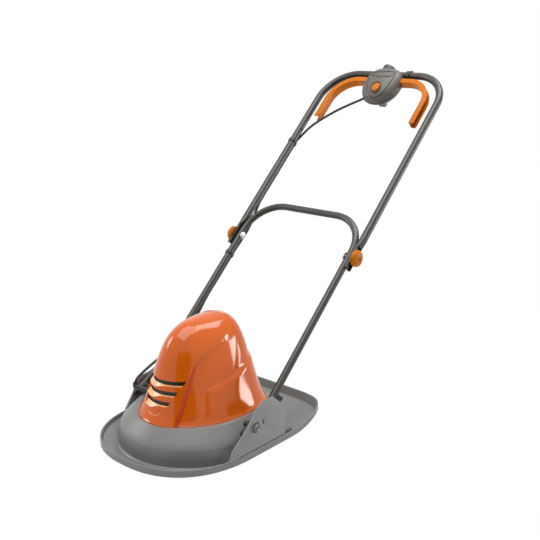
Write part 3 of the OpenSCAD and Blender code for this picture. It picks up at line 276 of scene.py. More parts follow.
def cover_point(angle, share, inset=0):
    """Point of the motor cover's outer skin, at an angle and a share of the height."""
    c = math.cos(math.radians(angle))
    s = math.sin(math.radians(angle))
    left = 1 - share ** (0.6 + 0.5 * share ** 3)
    front = COVER_APEX - (COVER_APEX + COVER_FRONT) * left ** (1 / COVER_FRONT_POWER)
    rear = COVER_APEX + (COVER_REAR - COVER_APEX) * left ** (1 / COVER_REAR_POWER)
    half = COVER_HALF * left ** (1 / COVER_SIDE_POWER)
    mid = min(max(COVER_MID + (COVER_APEX - COVER_MID) * share, front), rear)
    k = 1 if s < 0 else superellipse(c, s, COVER_PLAN_POWER)
    panel = PANEL_OUT * smooth((panel_reach(share) - abs(angle - 270)) / PANEL_STEP)
    side = angle if angle < 90 else 180 - angle if angle < 270 else angle - 360
    line = SKIRT_SHARE + SKIRT_SLOPE * side
    skirt = PANEL_OUT * smooth((line - share) / SKIRT_STEP) * smooth((side - SKIRT_START) / SKIRT_FADE)
    out = (panel + skirt) * smooth(left / CROWN_FADE) - inset
    depth = mid - front if s < 0 else rear - mid
    x = max(half + out, 0) * k * c
    y = mid + max(depth + out, 0) * k * s
    return deck_point(x, y, COVER_LOW + COVER_H * share)


def rim_point(angle, inset):
    """Point of the hood's rim, at an angle round the blade's axis and inside the outer edge."""
    c = math.cos(math.radians(angle))
    s = math.sin(math.radians(angle))
    power, long = (HOOD_FRONT_POWER, HOOD_FRONT) if s < 0 else (HOOD_REAR_POWER, HOOD_REAR)
    k = superellipse(c, s, power)
    y = k * s * (long - inset)
    z = RIM_Z + TAIL_LIFT * smooth((y / HOOD_REAR - TAIL_START) / TAIL_SPAN)
    return deck_point((HOOD_HALF - inset) * k * c, y, z)


def box_face(x, v):
    """Point on the switch box's front dome, at x and v from its middle."""
    power, high = (BOX_UP_POWER, BOX_UP) if v >= 0 else (BOX_DOWN_POWER, BOX_DOWN)
    share = min(1, (abs(x / BOX_HALF) ** power + abs(v / high) ** power) ** (1 / power))
    dome = (1 - share ** BOX_DOME_POWER) ** (1 / BOX_DOME_POWER)
    return handle_point(x, BOX_U + v, BOX_FRONT * dome)


def rounded(points, steps=10):
    """Smooth line through the points."""
    line = [Vector(p) for p in points]
    ends = [2 * line[0] - line[1]] + line + [2 * line[-1] - line[-2]]
    made = []
    for a, b, c, d in zip(ends, ends[1:], ends[2:], ends[3:]):
        for i in range(steps):
            t = i / steps
            made.append(
                0.5 * (2 * b + (c - a) * t + (2 * a - 5 * b + 4 * c - d) * t * t
                       + (3 * b - a - 3 * c + d) * t ** 3)
            )
    made.append(line[-1])
    return made


# Node helpers

def add(tree, kind, inputs=None, **settings):
    """Adds a node, sets it, and links or fills its inputs."""
    node = tree.nodes.new(kind)
    for name, value in settings.items():
        setattr(node, name, value)
    for key, value in (inputs or {}).items():
        if isinstance(value, bpy.types.NodeSocket):
            tree.links.new(value, node.inputs[key])
        else:
            node.inputs[key].default_value = value
    return node


def surface(name, colour, rough, speck=0.06, grain=0.0, grain_mm=1.0, metal=0.0, shine=0.5):
    """Principled material with uneven colour and gloss, and a fine moulded grain."""
    material = bpy.data.materials.new(name)
    material.use_nodes = True
    tree = material.node_tree
    tree.nodes.clear()
    place = add(tree, "ShaderNodeTexCoord").outputs["Object"]
    patch = add(tree, "ShaderNodeTexNoise", {"Vector": place, "Scale": 1000 / PATCH_MM, "Detail": 5.0})
    ramp = add(tree, "ShaderNodeValToRGB", {"Fac": patch.outputs["Fac"]})
    for stop, place_share, gain in zip(ramp.color_ramp.elements, (0.3, 0.7), (1 - speck, 1 + speck)):
        stop.position = place_share
        stop.color = (*[min(1, channel * gain) for channel in colour], 1)
    gloss = add(
        tree, "ShaderNodeMapRange",
        {"Value": patch.outputs["Fac"], "To Min": rough * 0.85, "To Max": min(1, rough * 1.15)},
    )
    fine = add(tree, "ShaderNodeTexNoise", {"Vector": place, "Scale": 1000 / grain_mm, "Detail": 3.0})
    bump = add(
        tree, "ShaderNodeBump", {"Height": fine.outputs["Fac"], "Strength": grain, "Distance": GRAIN_DEPTH},
    )
    shader = add(
        tree, "ShaderNodeBsdfPrincipled",
        {
            "Base Color": ramp.outputs["Color"], "Roughness": gloss.outputs["Result"], "Metallic": metal,
            "Normal": bump.outputs["Normal"], "Specular IOR Level": shine,
        },
    )
    add(tree, "ShaderNodeOutputMaterial", {"Surface": shader.outputs["BSDF"]})
    return material


def wound(name, colour, wire_mm, metal):
    """Wire wound in layers: narrow waves of light and dark."""
    material = surface(name, colour, 0.35, metal=metal)
    tree = material.node_tree
    place = add(tree, "ShaderNodeTexCoord").outputs["Object"]
    wave = add(
        tree, "ShaderNodeTexWave", {"Vector": place, "Scale": 314 / wire_mm, "Distortion": 0.4},
        bands_direction="Z",
    )
    bump = add(tree, "ShaderNodeBump", {"Height": wave.outputs["Fac"], "Strength": 0.8, "Distance": 0.0006})
    shader = next(node for node in tree.nodes if node.type == "BSDF_PRINCIPLED")
    tree.links.new(bump.outputs["Normal"], shader.inputs["Normal"])
    return material


MATERIALS = {}


def make_materials(colours):
    """All materials, by the record's slots and by a few words of their own."""
    # Moulded grey plastic: satin, with an even grain that softens the light
    MATERIALS["grey_plastic"] = surface("Moulded_Grey_ABS", colours.hood, 0.42, 0.04, 0.05, 0.9)
    # Polished orange plastic: wet-looking gloss with sharp reflections
    MATERIALS["orange_gloss"] = surface("Gloss_Orange_ABS", colours.cover, 0.1, 0.03, 0.01, 8, shine=0.4)
    # Orange nylon of knobs and levers: half gloss
    MATERIALS["orange_plastic"] = surface("Orange_Nylon", colours.knob, 0.34, 0.04, 0.01, 3, shine=0.12)
    # Painted tube: smooth dark paint with a line of light along it
    MATERIALS["tube_paint"] = surface("Tube_Paint", colours.tube, 0.36, 0.05, 0.0, 4, shine=0.62)
    # Switch box plastic: dark, dry and finely grained
    MATERIALS["box_plastic"] = surface("Grained_Dark_ABS", colours.box, 0.45, 0.05, 0.03, 0.8)
    # Black plastic of vents, clips and plugs
    MATERIALS["black_plastic"] = surface("Black_Polyamide", colours.black, 0.42, 0.12, 0.08, 0.8)
    # Black rubber of cable and buffers: dull
    MATERIALS["black_rubber"] = surface("Black_Rubber", colours.black, 0.6, 0.15, 0.08, 0.6)
    # Bright zinc on fasteners and shaft
    MATERIALS["steel"] = surface("Zinc_Plated_Steel", linear("#b9b9b4"), 0.3, 0.08, 0.1, 0.7, metal=1)
    # Die-cast motor frames: pale, rough metal
    MATERIALS["cast_alloy"] = surface("Die_Cast_Alloy", linear("#a3a5a6"), 0.5, 0.08, 0.5, 0.9, metal=0.9)
    # Enamelled copper wire in layers
    MATERIALS["copper"] = wound("Enamelled_Copper", linear("#a8562c"), 0.6, 0.9)
    # Brass of the brush holders
    MATERIALS["brush_brass"] = surface("Brass", linear("#b58f45"), 0.34, 0.08, 0.1, 0.8, metal=1)
    # Pressed carbon: nearly black, dusty
    MATERIALS["carbon"] = surface("Pressed_Carbon", linear("#222224"), 0.7, 0.2, 0.5, 0.5)
    # Yellow film of the capacitor
    MATERIALS["capacitor_film"] = surface("Capacitor_Film", linear("#c9a63c"), 0.4, 0.06, 0.1, 1)
    # Cream terminal block
    MATERIALS["cream_plastic"] = surface("Cream_Polyamide", linear("#d9d0b8"), 0.45, 0.05, 0.2, 0.8)
    # Dark red lines along the cover's skirt step and side crease: painted shade
    MATERIALS["seam"] = surface("Cover_Crease_Painted_Shade", linear("#b8340c"), 0.4, 0.1, 0.1, 1)
    # Slope of the front panel's step in a deeper orange, glossy like the cover: painted shade
    MATERIALS["panel_edge"] = surface("Panel_Edge", linear("#b4390a"), 0.16, 0.03, 0.01, 8, shine=0.3)
    # Pale orange of the sills under the vents and of the line below them: a painted highlight
    MATERIALS["vent_lip"] = surface("Pale_Painted_Highlight", linear("#f0b27c"), 0.25, 0.04, 0.02, 4)
    # Dark line of a joint in grey plastic, and painted shade in the recess round each pivot boss and the slot of
    # each bolt head
    MATERIALS["joint_line"] = surface("Joint_Line", linear("#2c2b28"), 0.6, 0.1, 0.1, 1)
    # Bracket grey: a shade lighter and cooler than the hood
    MATERIALS["bracket"] = surface("Bracket_Grey_ABS", colours.bracket, 0.42, 0.04, 0.05, 0.9)


# Mesh helpers

def put(name, mesh, material, body, replaces=(), bend=None):
    """Links a finished mesh as a piece that rides on a body, or, when a bend is given, stays in place on no body.
    """
    mesh.materials.clear()
    mesh.materials.append(MATERIALS[material])
    piece = bpy.data.objects.new(name, mesh)
    bpy.context.scene.collection.objects.link(piece)
    if bend:
        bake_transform(piece)
    else:
        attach(piece, body)
    if replaces:
        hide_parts(*replaces)
    return piece


def shade(mesh, degrees):
    """Smooth faces, with edges sharper than the angle kept crisp."""
    form = bmesh.new()
    form.from_mesh(mesh)
    limit = math.radians(degrees)
    for face in form.faces:
        face.smooth = True
    for edge in form.edges:
        edge.smooth = len(edge.link_faces) == 2 and edge.calc_face_angle(0) < limit
    form.to_mesh(mesh)
    form.free()


def baked(mesh, *modifiers):
    """Mesh after modifiers, each given as its kind and settings."""
    carrier = bpy.data.objects.new("carrier", mesh)
    bpy.context.scene.collection.objects.link(carrier)
    for kind, settings in modifiers:
        modifier = carrier.modifiers.new(kind, kind)
        for key, value in settings.items():
            setattr(modifier, key, value)
    seen = carrier.evaluated_get(bpy.context.evaluated_depsgraph_get())
    made = bpy.data.meshes.new_from_object(seen)
    bpy.data.objects.remove(carrier)
    return made


def dress(node, material, bevel=0.0, degrees=38):
    """Copy of a CAD node with merged vertices, rounded edges and smooth shading."""
    mesh = NODES[node].data.copy()
    form = bmesh.new()
    form.from_mesh(mesh)
    bmesh.ops.remove_doubles(form, verts=form.verts, dist=MERGE)
    if bevel:
        flat = math.radians(0.4)
        bmesh.ops.dissolve_limit(form, angle_limit=flat, verts=form.verts, edges=form.edges)
    form.to_mesh(mesh)
    form.free()
    if bevel:
        mesh = baked(
            mesh,
            ("BEVEL", {"width": bevel * MM, "segments": 3 if bevel > 2 else 2, "limit_method": "ANGLE",
                       "angle_limit": math.radians(40), "use_clamp_overlap": True}),
        )
        degrees = 55
    shade(mesh, degrees)
    return put(node + "_skin", mesh, material, BODY_OF[node], [node])


def from_faces(points, faces):
    """Mesh of points and faces with outward normals."""
    mesh = bpy.data.meshes.new("made")
    mesh.from_pydata([tuple(p) for p in points], [], faces)
    form = bmesh.new()
    form.from_mesh(mesh)
    bmesh.ops.remove_doubles(form, verts=form.verts, dist=1e-7)
    bmesh.ops.recalc_face_normals(form, faces=form.faces)
    form.to_mesh(mesh)
    form.free()
    return mesh


# Geometry node trees

def new_tree(name, sockets):
    """Geometry tree with named inputs, and its input and output nodes."""
    tree = bpy.data.node_groups.new(name, "GeometryNodeTree")
    for label, kind in sockets:
        tree.interface.new_socket(label, in_out="INPUT", socket_type=kind)
    tree.interface.new_socket("Geometry", in_out="OUTPUT", socket_type="NodeSocketGeometry")
    return tree, add(tree, "NodeGroupInput").outputs


def end_tree(tree, geometry, material):
    """Realize, set the material and output."""
    real = add(tree, "GeometryNodeRealizeInstances", {"Geometry": geometry})
    painted = add(
        tree, "GeometryNodeSetMaterial", {"Geometry": real.outputs["Geometry"], "Material": material},
    )
    add(tree, "NodeGroupOutput", {"Geometry": painted.outputs["Geometry"]})
    return tree


def sweep_tree():
    """Round tube along a line of edges."""
    tree, given = new_tree(
        "Swept_Tube",
        [("Line", "NodeSocketGeometry"), ("Radius", "NodeSocketFloat"), ("Sides", "NodeSocketInt"),
         ("Material", "NodeSocketMaterial")],
    )
    line = add(tree, "GeometryNodeMeshToCurve", {"Mesh": given["Line"]})
    ring = add(
        tree, "GeometryNodeCurvePrimitiveCircle",
        {"Resolution": given["Sides"], "Radius": given["Radius"]},
    )
    tube = add(
        tree, "GeometryNodeCurveToMesh",
        {"Curve": line.outputs["Curve"], "Profile Curve": ring.outputs["Curve"], "Fill Caps": True},
    )
    return end_tree(tree, tube.outputs["Mesh"], given["Material"])


def screw_tree():
    """Cross-head screws standing on points, each along its point's axis."""
    tree, given = new_tree(
        "Cross_Head_Screws",
        [("Points", "NodeSocketGeometry"), ("Head Radius", "NodeSocketFloat"),
         ("Head Height", "NodeSocketFloat"), ("Shank Radius", "NodeSocketFloat"),
         ("Shank Length", "NodeSocketFloat"), ("Material", "NodeSocketMaterial")],
    )

    def scaled(socket, factor):
        made = add(tree, "ShaderNodeMath", {0: socket, 1: factor}, operation="MULTIPLY")
        return made.outputs["Value"]

    def vector(x, y, z):
        return add(tree, "ShaderNodeCombineXYZ", {"X": x, "Y": y, "Z": z}).outputs["Vector"]

    def lifted(mesh, height):
        made = add(
            tree, "GeometryNodeTransform", {"Geometry": mesh, "Translation": vector(0.0, 0.0, height)},
        )
        return made.outputs["Geometry"]

    high = given["Head Height"]
    deep = given["Shank Length"]
    head = add(
        tree, "GeometryNodeMeshCylinder", {"Vertices": 24, "Radius": given["Head Radius"], "Depth": high},
    )
    raised = lifted(head.outputs["Mesh"], scaled(high, 0.5))
    long_side = scaled(given["Head Radius"], 1.2)
    short_side = scaled(given["Head Radius"], 0.3)
    slots = []
    for size in (vector(long_side, short_side, high), vector(short_side, long_side, high)):
        bar = add(tree, "GeometryNodeMeshCube", {"Size": size})
        slots.append(lifted(bar.outputs["Mesh"], high))
    cut = add(tree, "GeometryNodeMeshBoolean", {"Mesh 1": raised}, operation="DIFFERENCE")
    for bar in slots:
        tree.links.new(bar, cut.inputs["Mesh 2"])
    shank = add(
        tree, "GeometryNodeMeshCylinder", {"Vertices": 16, "Radius": given["Shank Radius"], "Depth": deep},
    )
    sunk = lifted(shank.outputs["Mesh"], scaled(deep, -0.5))
    screw = add(tree, "GeometryNodeJoinGeometry", {"Geometry": cut.outputs["Mesh"]})
    tree.links.new(sunk, screw.inputs["Geometry"])
    axis = add(tree, "GeometryNodeInputNamedAttribute", {"Name": "axis"}, data_type="FLOAT_VECTOR")
    turned = add(tree, "FunctionNodeAlignRotationToVector", {"Vector": axis.outputs["Attribute"]}, axis="Z")
    placed = add(
        tree, "GeometryNodeInstanceOnPoints",
        {"Points": given["Points"], "Instance": screw.outputs["Geometry"],
         "Rotation": turned.outputs["Rotation"]},
    )
    return end_tree(tree, placed.outputs["Instances"], given["Material"])


def grown(tree, mesh, values):
    """Plain mesh that a geometry tree makes of a mesh."""
    carrier = bpy.data.objects.new("carrier", mesh)
    bpy.context.scene.collection.objects.link(carrier)
    modifier = carrier.modifiers.new("Tree", "NODES")
    modifier.node_group = tree
    for item in tree.interface.items_tree:
        if item.in_out == "INPUT" and item.name in values:
            modifier[item.identifier] = values[item.name]
    made = bpy.data.meshes.new_from_object(carrier.evaluated_get(bpy.context.evaluated_depsgraph_get()))
    bpy.data.objects.remove(carrier)
    return made


TREES = {}


def sweep(name, points, radius, material, body, sides=16, closed=False, replaces=(), bend=None):
    """Piece: a round tube along points."""
    line = bpy.data.meshes.new("line")
    count = len(points)
    edges = [(i, i + 1) for i in range(count - 1)] + ([(count - 1, 0)] if closed else [])
    line.from_pydata([tuple(p) for p in points], edges, [])
    mesh = grown(TREES["sweep"], line, {"Radius": radius, "Sides": sides, "Material": MATERIALS[material]})
    shade(mesh, 50)
    return put(name, mesh, material, body, replaces, bend)


def screws(name, places, head_r, head_h, shank_r, shank, body, node):
    """Piece: cross-head screws at (point, axis) places, standing for a CAD node."""
    points = bpy.data.meshes.new("points")
    points.from_pydata([tuple(point) for point, axis in places], [], [])
    along = points.attributes.new("axis", "FLOAT_VECTOR", "POINT")
    for item, (point, axis) in zip(along.data, places):
        item.vector = axis
    mesh = grown(
        TREES["screw"], points,
        {"Head Radius": head_r * MM, "Head Height": head_h * MM, "Shank Radius": shank_r * MM,
         "Shank Length": shank * MM, "Material": MATERIALS["steel"]},
    )
    shade(mesh, 40)
    return put(name, mesh, "steel", body, [node])


# What a user may change

class MowerColours(bpy.types.PropertyGroup):
    """Colours of the moulded and painted parts."""

    hood: bpy.props.FloatVectorProperty(
        name="Hood", description="Grey of the hood", subtype="COLOR", size=3,
        default=linear("#6f6f6d"))
    bracket: bpy.props.FloatVectorProperty(
        name="Bracket", description="Grey of the brackets", subtype="COLOR", size=3,
        default=linear("#757676"))
    cover: bpy.props.FloatVectorProperty(
        name="Cover", description="Orange of the motor cover", subtype="COLOR", size=3,
        default=linear("#c35609"))
    knob: bpy.props.FloatVectorProperty(
        name="Knobs", description="Orange of knobs and levers", subtype="COLOR", size=3,
        default=linear("#b2620b"))
    tube: bpy.props.FloatVectorProperty(
        name="Tubes", description="Paint of the handle", subtype="COLOR", size=3,
        default=linear("#201d15"))
    box: bpy.props.FloatVectorProperty(
        name="Switch box", description="Grey of the switch box", subtype="COLOR", size=3,
        default=linear("#504d46"))
    black: bpy.props.FloatVectorProperty(
        name="Black", description="Black of rubber and small parts", subtype="COLOR", size=3,
        default=linear("#111111"))


class MowerSizes(bpy.types.PropertyGroup):
    """Sizes of the dressed details."""

    bead: bpy.props.FloatProperty(
        name="Rim bead", description="Radius of the bead on the hood's rim", unit="LENGTH", default=0.0014)
    seam: bpy.props.FloatProperty(
        name="Seam", description="Radius of the cover's seam lines", unit="LENGTH", default=0.0006)
    cable: bpy.props.FloatProperty(
        name="Cable", description="Diameter of the cable", unit="LENGTH", default=0.006)


class MowerStep:
    """What every step of the dressing shares."""

    bl_options = {"REGISTER"}


class MOWER_OT_stage(MowerStep, bpy.types.Operator):
    """Set up the camera, the light and the floor"""

    bl_idname = "mower.stage"
    bl_label = "Camera and Light"

    def execute(self, context):
        scene = context.scene
        lens = bpy.data.cameras.new("Photo_Camera")
        lens.sensor_width = 36
        lens.lens = CAMERA_LENS
        camera = bpy.data.objects.new("Photo_Camera", lens)
        camera.location = CAMERA_PLACE
        camera.rotation_euler = CAMERA_LOOK.to_track_quat("-Z", "Y").to_euler()
        scene.collection.objects.link(camera)
        scene.camera = camera
        scene.view_settings.view_transform = "Standard"
        self.add_floor(scene)
        self.add_world(scene)
        self.add_card(scene)
        for name, place, size, watts in LAMPS:
            light = bpy.data.lights.new(name, "AREA")
            light.size = size
            light.energy = watts
            lamp = bpy.data.objects.new(name, light)
            lamp.location = place
            lamp.rotation_euler = (LAMP_AIM - Vector(place)).to_track_quat("-Z", "Y").to_euler()
            scene.collection.objects.link(lamp)
        return {"FINISHED"}

    def seen(self, tree):
        """Rays that look at the background rather than light the object."""
        ray = add(tree, "ShaderNodeLightPath")
        direct = add(
            tree, "ShaderNodeMath", {0: ray.outputs["Is Camera Ray"], 1: ray.outputs["Is Glossy Ray"]},
            operation="MAXIMUM",
        )
        both = add(
            tree, "ShaderNodeMath", {0: direct.outputs["Value"], 1: ray.outputs["Is Transmission Ray"]},
            operation="MAXIMUM",
        )
        return both.outputs["Value"]

    def add_floor(self, scene):
        """Pale floor that keeps a faint shadow near the mower and turns white farther away."""
        half = FLOOR_HALF
        corners = [(-half, -half, 0), (half, -half, 0), (half, half, 0), (-half, half, 0)]
        mesh = from_faces(corners, [(0, 1, 2, 3)])
        material = bpy.data.materials.new("Studio_Floor")
        material.use_nodes = True
        tree = material.node_tree
        tree.nodes.clear()
        place = add(tree, "ShaderNodeTexCoord").outputs["Object"]
        away = add(tree, "ShaderNodeVectorMath", {0: place}, operation="LENGTH").outputs["Value"]
        white = add(
            tree, "ShaderNodeMapRange",
            {"Value": away, "From Min": FLOOR_FADE[0], "From Max": FLOOR_FADE[1], "To Min": FLOOR_GLOW,
             "To Max": 1.0},
        )
        share = add(
            tree, "ShaderNodeMath", {0: self.seen(tree), 1: white.outputs["Result"]}, operation="MULTIPLY",
        )
        paper = add(tree, "ShaderNodeBsdfDiffuse", {"Color": (0.9, 0.9, 0.9, 1)})
        glow = add(tree, "ShaderNodeEmission", {"Color": (1, 1, 1, 1), "Strength": 1.0})
        mix = add(
            tree, "ShaderNodeMixShader",
            {0: share.outputs["Value"], 1: paper.outputs["BSDF"], 2: glow.outputs["Emission"]},
        )
        add(tree, "ShaderNodeOutputMaterial", {"Surface": mix.outputs["Shader"]})
        mesh.materials.append(material)
        floor = bpy.data.objects.new("Studio_Floor", mesh)
        scene.collection.objects.link(floor)

    def add_card(self, scene):
        """Dark card behind the camera, which gives gloss something dark to show."""
        middle = Vector((2.75, -3.2, 1.45))
        across = Vector((0.76, 0.65, 0)) * 1.7
        up = Vector((0, 0, 1.25))
        corners = [middle - across - up, middle + across - up, middle + across + up, middle - across + up]
        mesh = from_faces(corners, [(0, 1, 2, 3)])
        material = surface("Studio_Card", linear("#1c1a18"), 0.9)
        mesh.materials.append(material)
        card = bpy.data.objects.new("Studio_Card", mesh)
        card.visible_camera = False
        scene.collection.objects.link(card)

    def add_world(self, scene):
        """White surroundings, dimmer as a light than they look."""
        world = bpy.data.worlds.new("Studio_White")
        world.use_nodes = True
        tree = world.node_tree
        tree.nodes.clear()
        level = add(
            tree, "ShaderNodeMapRange", {"Value": self.seen(tree), "To Min": WORLD_LIGHT, "To Max": 1.0},
        )
        sky = add(
            tree, "ShaderNodeBackground", {"Color": (1, 1, 1, 1), "Strength": level.outputs["Result"]},
        )
        add(tree, "ShaderNodeOutputWorld", {"Surface": sky.outputs["Background"]})
        scene.world = world


class MOWER_OT_cables(MowerStep, bpy.types.Operator):
    """Lay the smooth cable over its five runs"""

    bl_idname = "mower.cables"
    bl_label = "Cables"

    def execute(self, context):
        thick = context.scene.mower_sizes.cable
        loop = [deck_point(*p) for p in LOOP_ROUTE] + [handle_point(*p) for p in LOOP_END]
        fold = [handle_point(*p) for p in FOLD_ROUTE]
        runs = (
            ("motor_lead", [deck_point(*p) for p in LEAD_ROUTE], None, None),
            ("cable_loop", loop, "loose", ("deck", "lower_handle", loop[0], loop[-1])),
            ("cable_lower", [handle_point(*p) for p in LOWER_ROUTE], "taut", None),
            ("cable_fold", fold, "loose", ("lower_handle", "upper_handle", fold[1], fold[4])),
            ("cable_upper", [handle_point(*p) for p in UPPER_ROUTE], "taut", None),
        )
        for node, route, lay, bend in runs:
            line = rounded(route)
            tube = sweep(
                node + "_tube", line, thick / 2, "black_rubber", BODY_OF[node], 16,
                replaces=[node], bend=bend,
            )
        return {"FINISHED"}


class MOWER_OT_hood(MowerStep, bpy.types.Operator):
    """Dress the hood, its rim and the brackets"""

    bl_idname = "mower.hood"
    bl_label = "Hood and Brackets"

    def execute(self, context):
        dress("hood", "grey_plastic", degrees=24)
        bead = context.scene.mower_sizes.bead
        rim = [rim_point(i * 360 / RIM_POINTS, bead / MM) for i in range(RIM_POINTS)]
        sweep("hood_rim_bead", rim, bead, "grey_plastic", "deck", 12, closed=True)
        for side in ("left", "right"):
            dress("handle_bracket_" + side, "bracket", 0.9)
        dress("pivot_bolts", "bracket", 0.5)
        dress("pivot_nuts", "black_plastic", 0.5)
        dress("stop_buffers", "black_rubber", 0.8)
        self.add_pivot_shades()
        return {"FINISHED"}

    def add_pivot_shades(self):
        """Painted shade: a dark ring in the lobed recess round each pivot boss, and a slanted dark line where each
        bolt head's slot is.
        """
        pivot = Vector(JOINTS["lower_handle_tilt"]["pos_m"])
        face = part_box("pivot_bolts")[1].x
        for side, label in ((1, "left"), (-1, "right")):
            ring = []
            for turn in turns(72):
                reach = PIVOT_RING_R + math.cos(PIVOT_RING_WAVES * turn)
                across = Vector((side * PIVOT_FACE, reach * math.cos(turn), reach * math.sin(turn)))
                ring.append(pivot + across * MM)
            sweep(
                "pivot_recess_shade_" + label, ring, 0.0011, "joint_line", "deck", 8, closed=True,
            )
            slot = [Vector((side * face, pivot.y + y * MM, pivot.z + z * MM)) for y, z in PIVOT_SLOT]
            sweep("pivot_slot_shade_" + label, slot, 0.0008, "joint_line", "deck", 8)


class MOWER_OT_cover(MowerStep, bpy.types.Operator):
    """Mould the motor cover with its vents and panel, and add its joint line, painted shade and painted highlight
    lines
    """

    bl_idname = "mower.cover"
    bl_label = "Motor Cover"

    def execute(self, context):
        columns = COVER_COLUMNS
        angles = [i * 360 / columns for i in range(columns)]
        shares = [(i / COVER_ROWS) ** 1.5 for i in range(COVER_ROWS)]
        points = [cover_point(angle, 0, COVER_LIP) for angle in angles]
        for share in shares:
            points += [cover_point(angle, share) for angle in angles]
        points.append(cover_point(0, 1))
        faces = []
        for row in range(COVER_ROWS):
            low = row * columns
            high = low + columns
            for i in range(columns):
                j = (i + 1) % columns
                faces.append((low + i, low + j, high + j, high + i))
        last = COVER_ROWS * columns
        top = len(points) - 1
        faces += [(last + i, last + (i + 1) % columns, top) for i in range(columns)]
        shell = from_faces(points, faces)
        cutter = self.vent_prisms()
        mesh = baked(
            shell,
            ("SOLIDIFY", {"thickness": COVER_WALL * MM, "offset": -1, "use_even_offset": False}),
            ("BOOLEAN", {"object": cutter, "operation": "DIFFERENCE", "solver": "EXACT"}),
        )
        bpy.data.objects.remove(cutter)
        shade(mesh, 34)
        put("motor_cover_shell", mesh, "orange_gloss", "deck", ["motor_cover"])
        self.add_painted_lines(context.scene.mower_sizes.seam)
        dress("vent_screen", "black_plastic")
        dress("cable_gland", "black_plastic", 0.6)
        return {"FINISHED"}

    def vent_corners(self, row):
        """Four corners of a vent across the front, in x and z."""
        low = COVER_LOW + VENT_Z + VENT_PITCH * row
        high = low + VENT_H
        half = (VENT_W + VENT_GROWTH * row) / 2
        lean = VENT_LEAN
        return [(-half - lean, low), (half - lean, low), (half, high), (-half - 2 * lean, high)]

    def sill_edge(self, row, count):
        """Points of a vent's sill along the front: x, the slot's edge and the sill's lower edge."""
        (start, edge), (end, _) = self.vent_corners(row)[:2]
        begin, span = SILL_TAPER
        made = []
        for i in range(count + 1):
            share = i / count
            drop = SILL_END + (SILL_START - SILL_END) * (1 - smooth((share - begin) / span))
            made.append((start + (end - start) * share, edge, edge - drop))
        return made

    def add_sills(self):
        """Sloping sill under each vent, deep at its left end and thin at its right, in a pale colour that is a
        painted highlight.
        """
        for row in range(VENT_ROWS):
            points = []
            for x, edge, foot in self.sill_edge(row, SILL_STEPS):
                section = ((foot - 0.5, 0.2), (edge + 0.2, 4.2), (edge - 1.2, 5.4), (foot - 1.6, 2.2))
                points += [self.front_at(x, z, inset) for z, inset in section]
            faces = [(0, 1, 2, 3), tuple(len(points) - 4 + i for i in range(4))]
            for i in range(SILL_STEPS):
                for j in range(4):
                    k = (j + 1) % 4
                    faces.append((4 * i + j, 4 * i + k, 4 * i + 4 + k, 4 * i + 4 + j))
            mesh = from_faces(points, faces)
            shade(mesh, 30)
            put("vent_sill_highlight_" + str(row + 1), mesh, "vent_lip", "deck")

    def vent_prisms(self):
        """Carrier with a prism through each vent and one round the cable's entry."""
        points = []
        faces = []
        for row in range(VENT_ROWS):
            corners = self.vent_corners(row)
            outline = [(x, foot) for x, _, foot in self.sill_edge(row, 16)] + corners[1:] + corners[:1]
            near, far = ([deck_point(x, y, z) for x, z in outline] for y in VENT_REACH)
            self.add_prism(points, faces, near, far)
        ring = [(ENTRY_Y + ENTRY_R * math.cos(t), ENTRY_Z + ENTRY_R * math.sin(t)) for t in turns(24)]
        near, far = ([deck_point(x, y, z) for y, z in ring] for x in ENTRY_X)
        self.add_prism(points, faces, near, far)
        carrier = bpy.data.objects.new("vent_cutter", from_faces(points, faces))
        bpy.context.scene.collection.objects.link(carrier)
        return carrier

    def add_prism(self, points, faces, near, far):
        """Adds a closed prism between two outlines of equal length."""
        count = len(near)
        a = list(range(len(points), len(points) + count))
        b = [i + count for i in a]
        points += near + far
        faces += [tuple(a), tuple(b)]
        faces += [(a[i], a[(i + 1) % count], b[(i + 1) % count], b[i]) for i in range(count)]

    def add_painted_lines(self, seam):
        """Painted shade on the slope of the panel's step and along the skirt's step and a side crease, a dark
        joint line at the foot, a painted highlight line below the vents, and the sills.
        """
        self.add_panel_step_shade("panel_step_shade_left", 1, 0.005, 0.68)
        self.add_panel_step_shade("panel_step_shade_right_low", -1, 0.005, 0.24)
        self.add_panel_step_shade("panel_step_shade_right_high", -1, 0.45, 0.68)
        skirt_line = []
        for side in range(SKIRT_LINE_START, SKIRT_LINE_START + SKIRT_LINE_SPAN):
            share = SKIRT_SHARE + SKIRT_SLOPE * side + 0.004
            skirt_line.append(cover_point(side % 360, share, LINE_SINK))
        mirrored = [Vector((-p.x, p.y, p.z)) for p in skirt_line]
        columns = COVER_COLUMNS
        base = [cover_point(i * 360 / columns, 0.003, LINE_SINK) for i in range(columns)]
        brow_highlight = rounded([cover_point(*p) for p in BROW_HIGHLIGHT])
        angle, share = CREASE_START
        crease = [cover_point(angle + i, share + CREASE_RISE * i, 0.1) for i in range(CREASE_SPAN)]
        # Dark red lines along the skirt's step and a side crease: painted shade
        sweep("skirt_shade_line_left", skirt_line, seam, "seam", "deck", 8)
        sweep("skirt_shade_line_right", mirrored, seam, "seam", "deck", 8)
        sweep(
            "cover_base_line", base, seam * 1.4, "joint_line", "deck", 8, closed=True,
        )
        # Pale line below the lowest vent: a painted highlight
        sweep("vent_highlight_line", brow_highlight, seam, "vent_lip", "deck", 8)
        sweep("side_crease_shade", crease, seam, "seam", "deck", 8)
        self.add_sills()

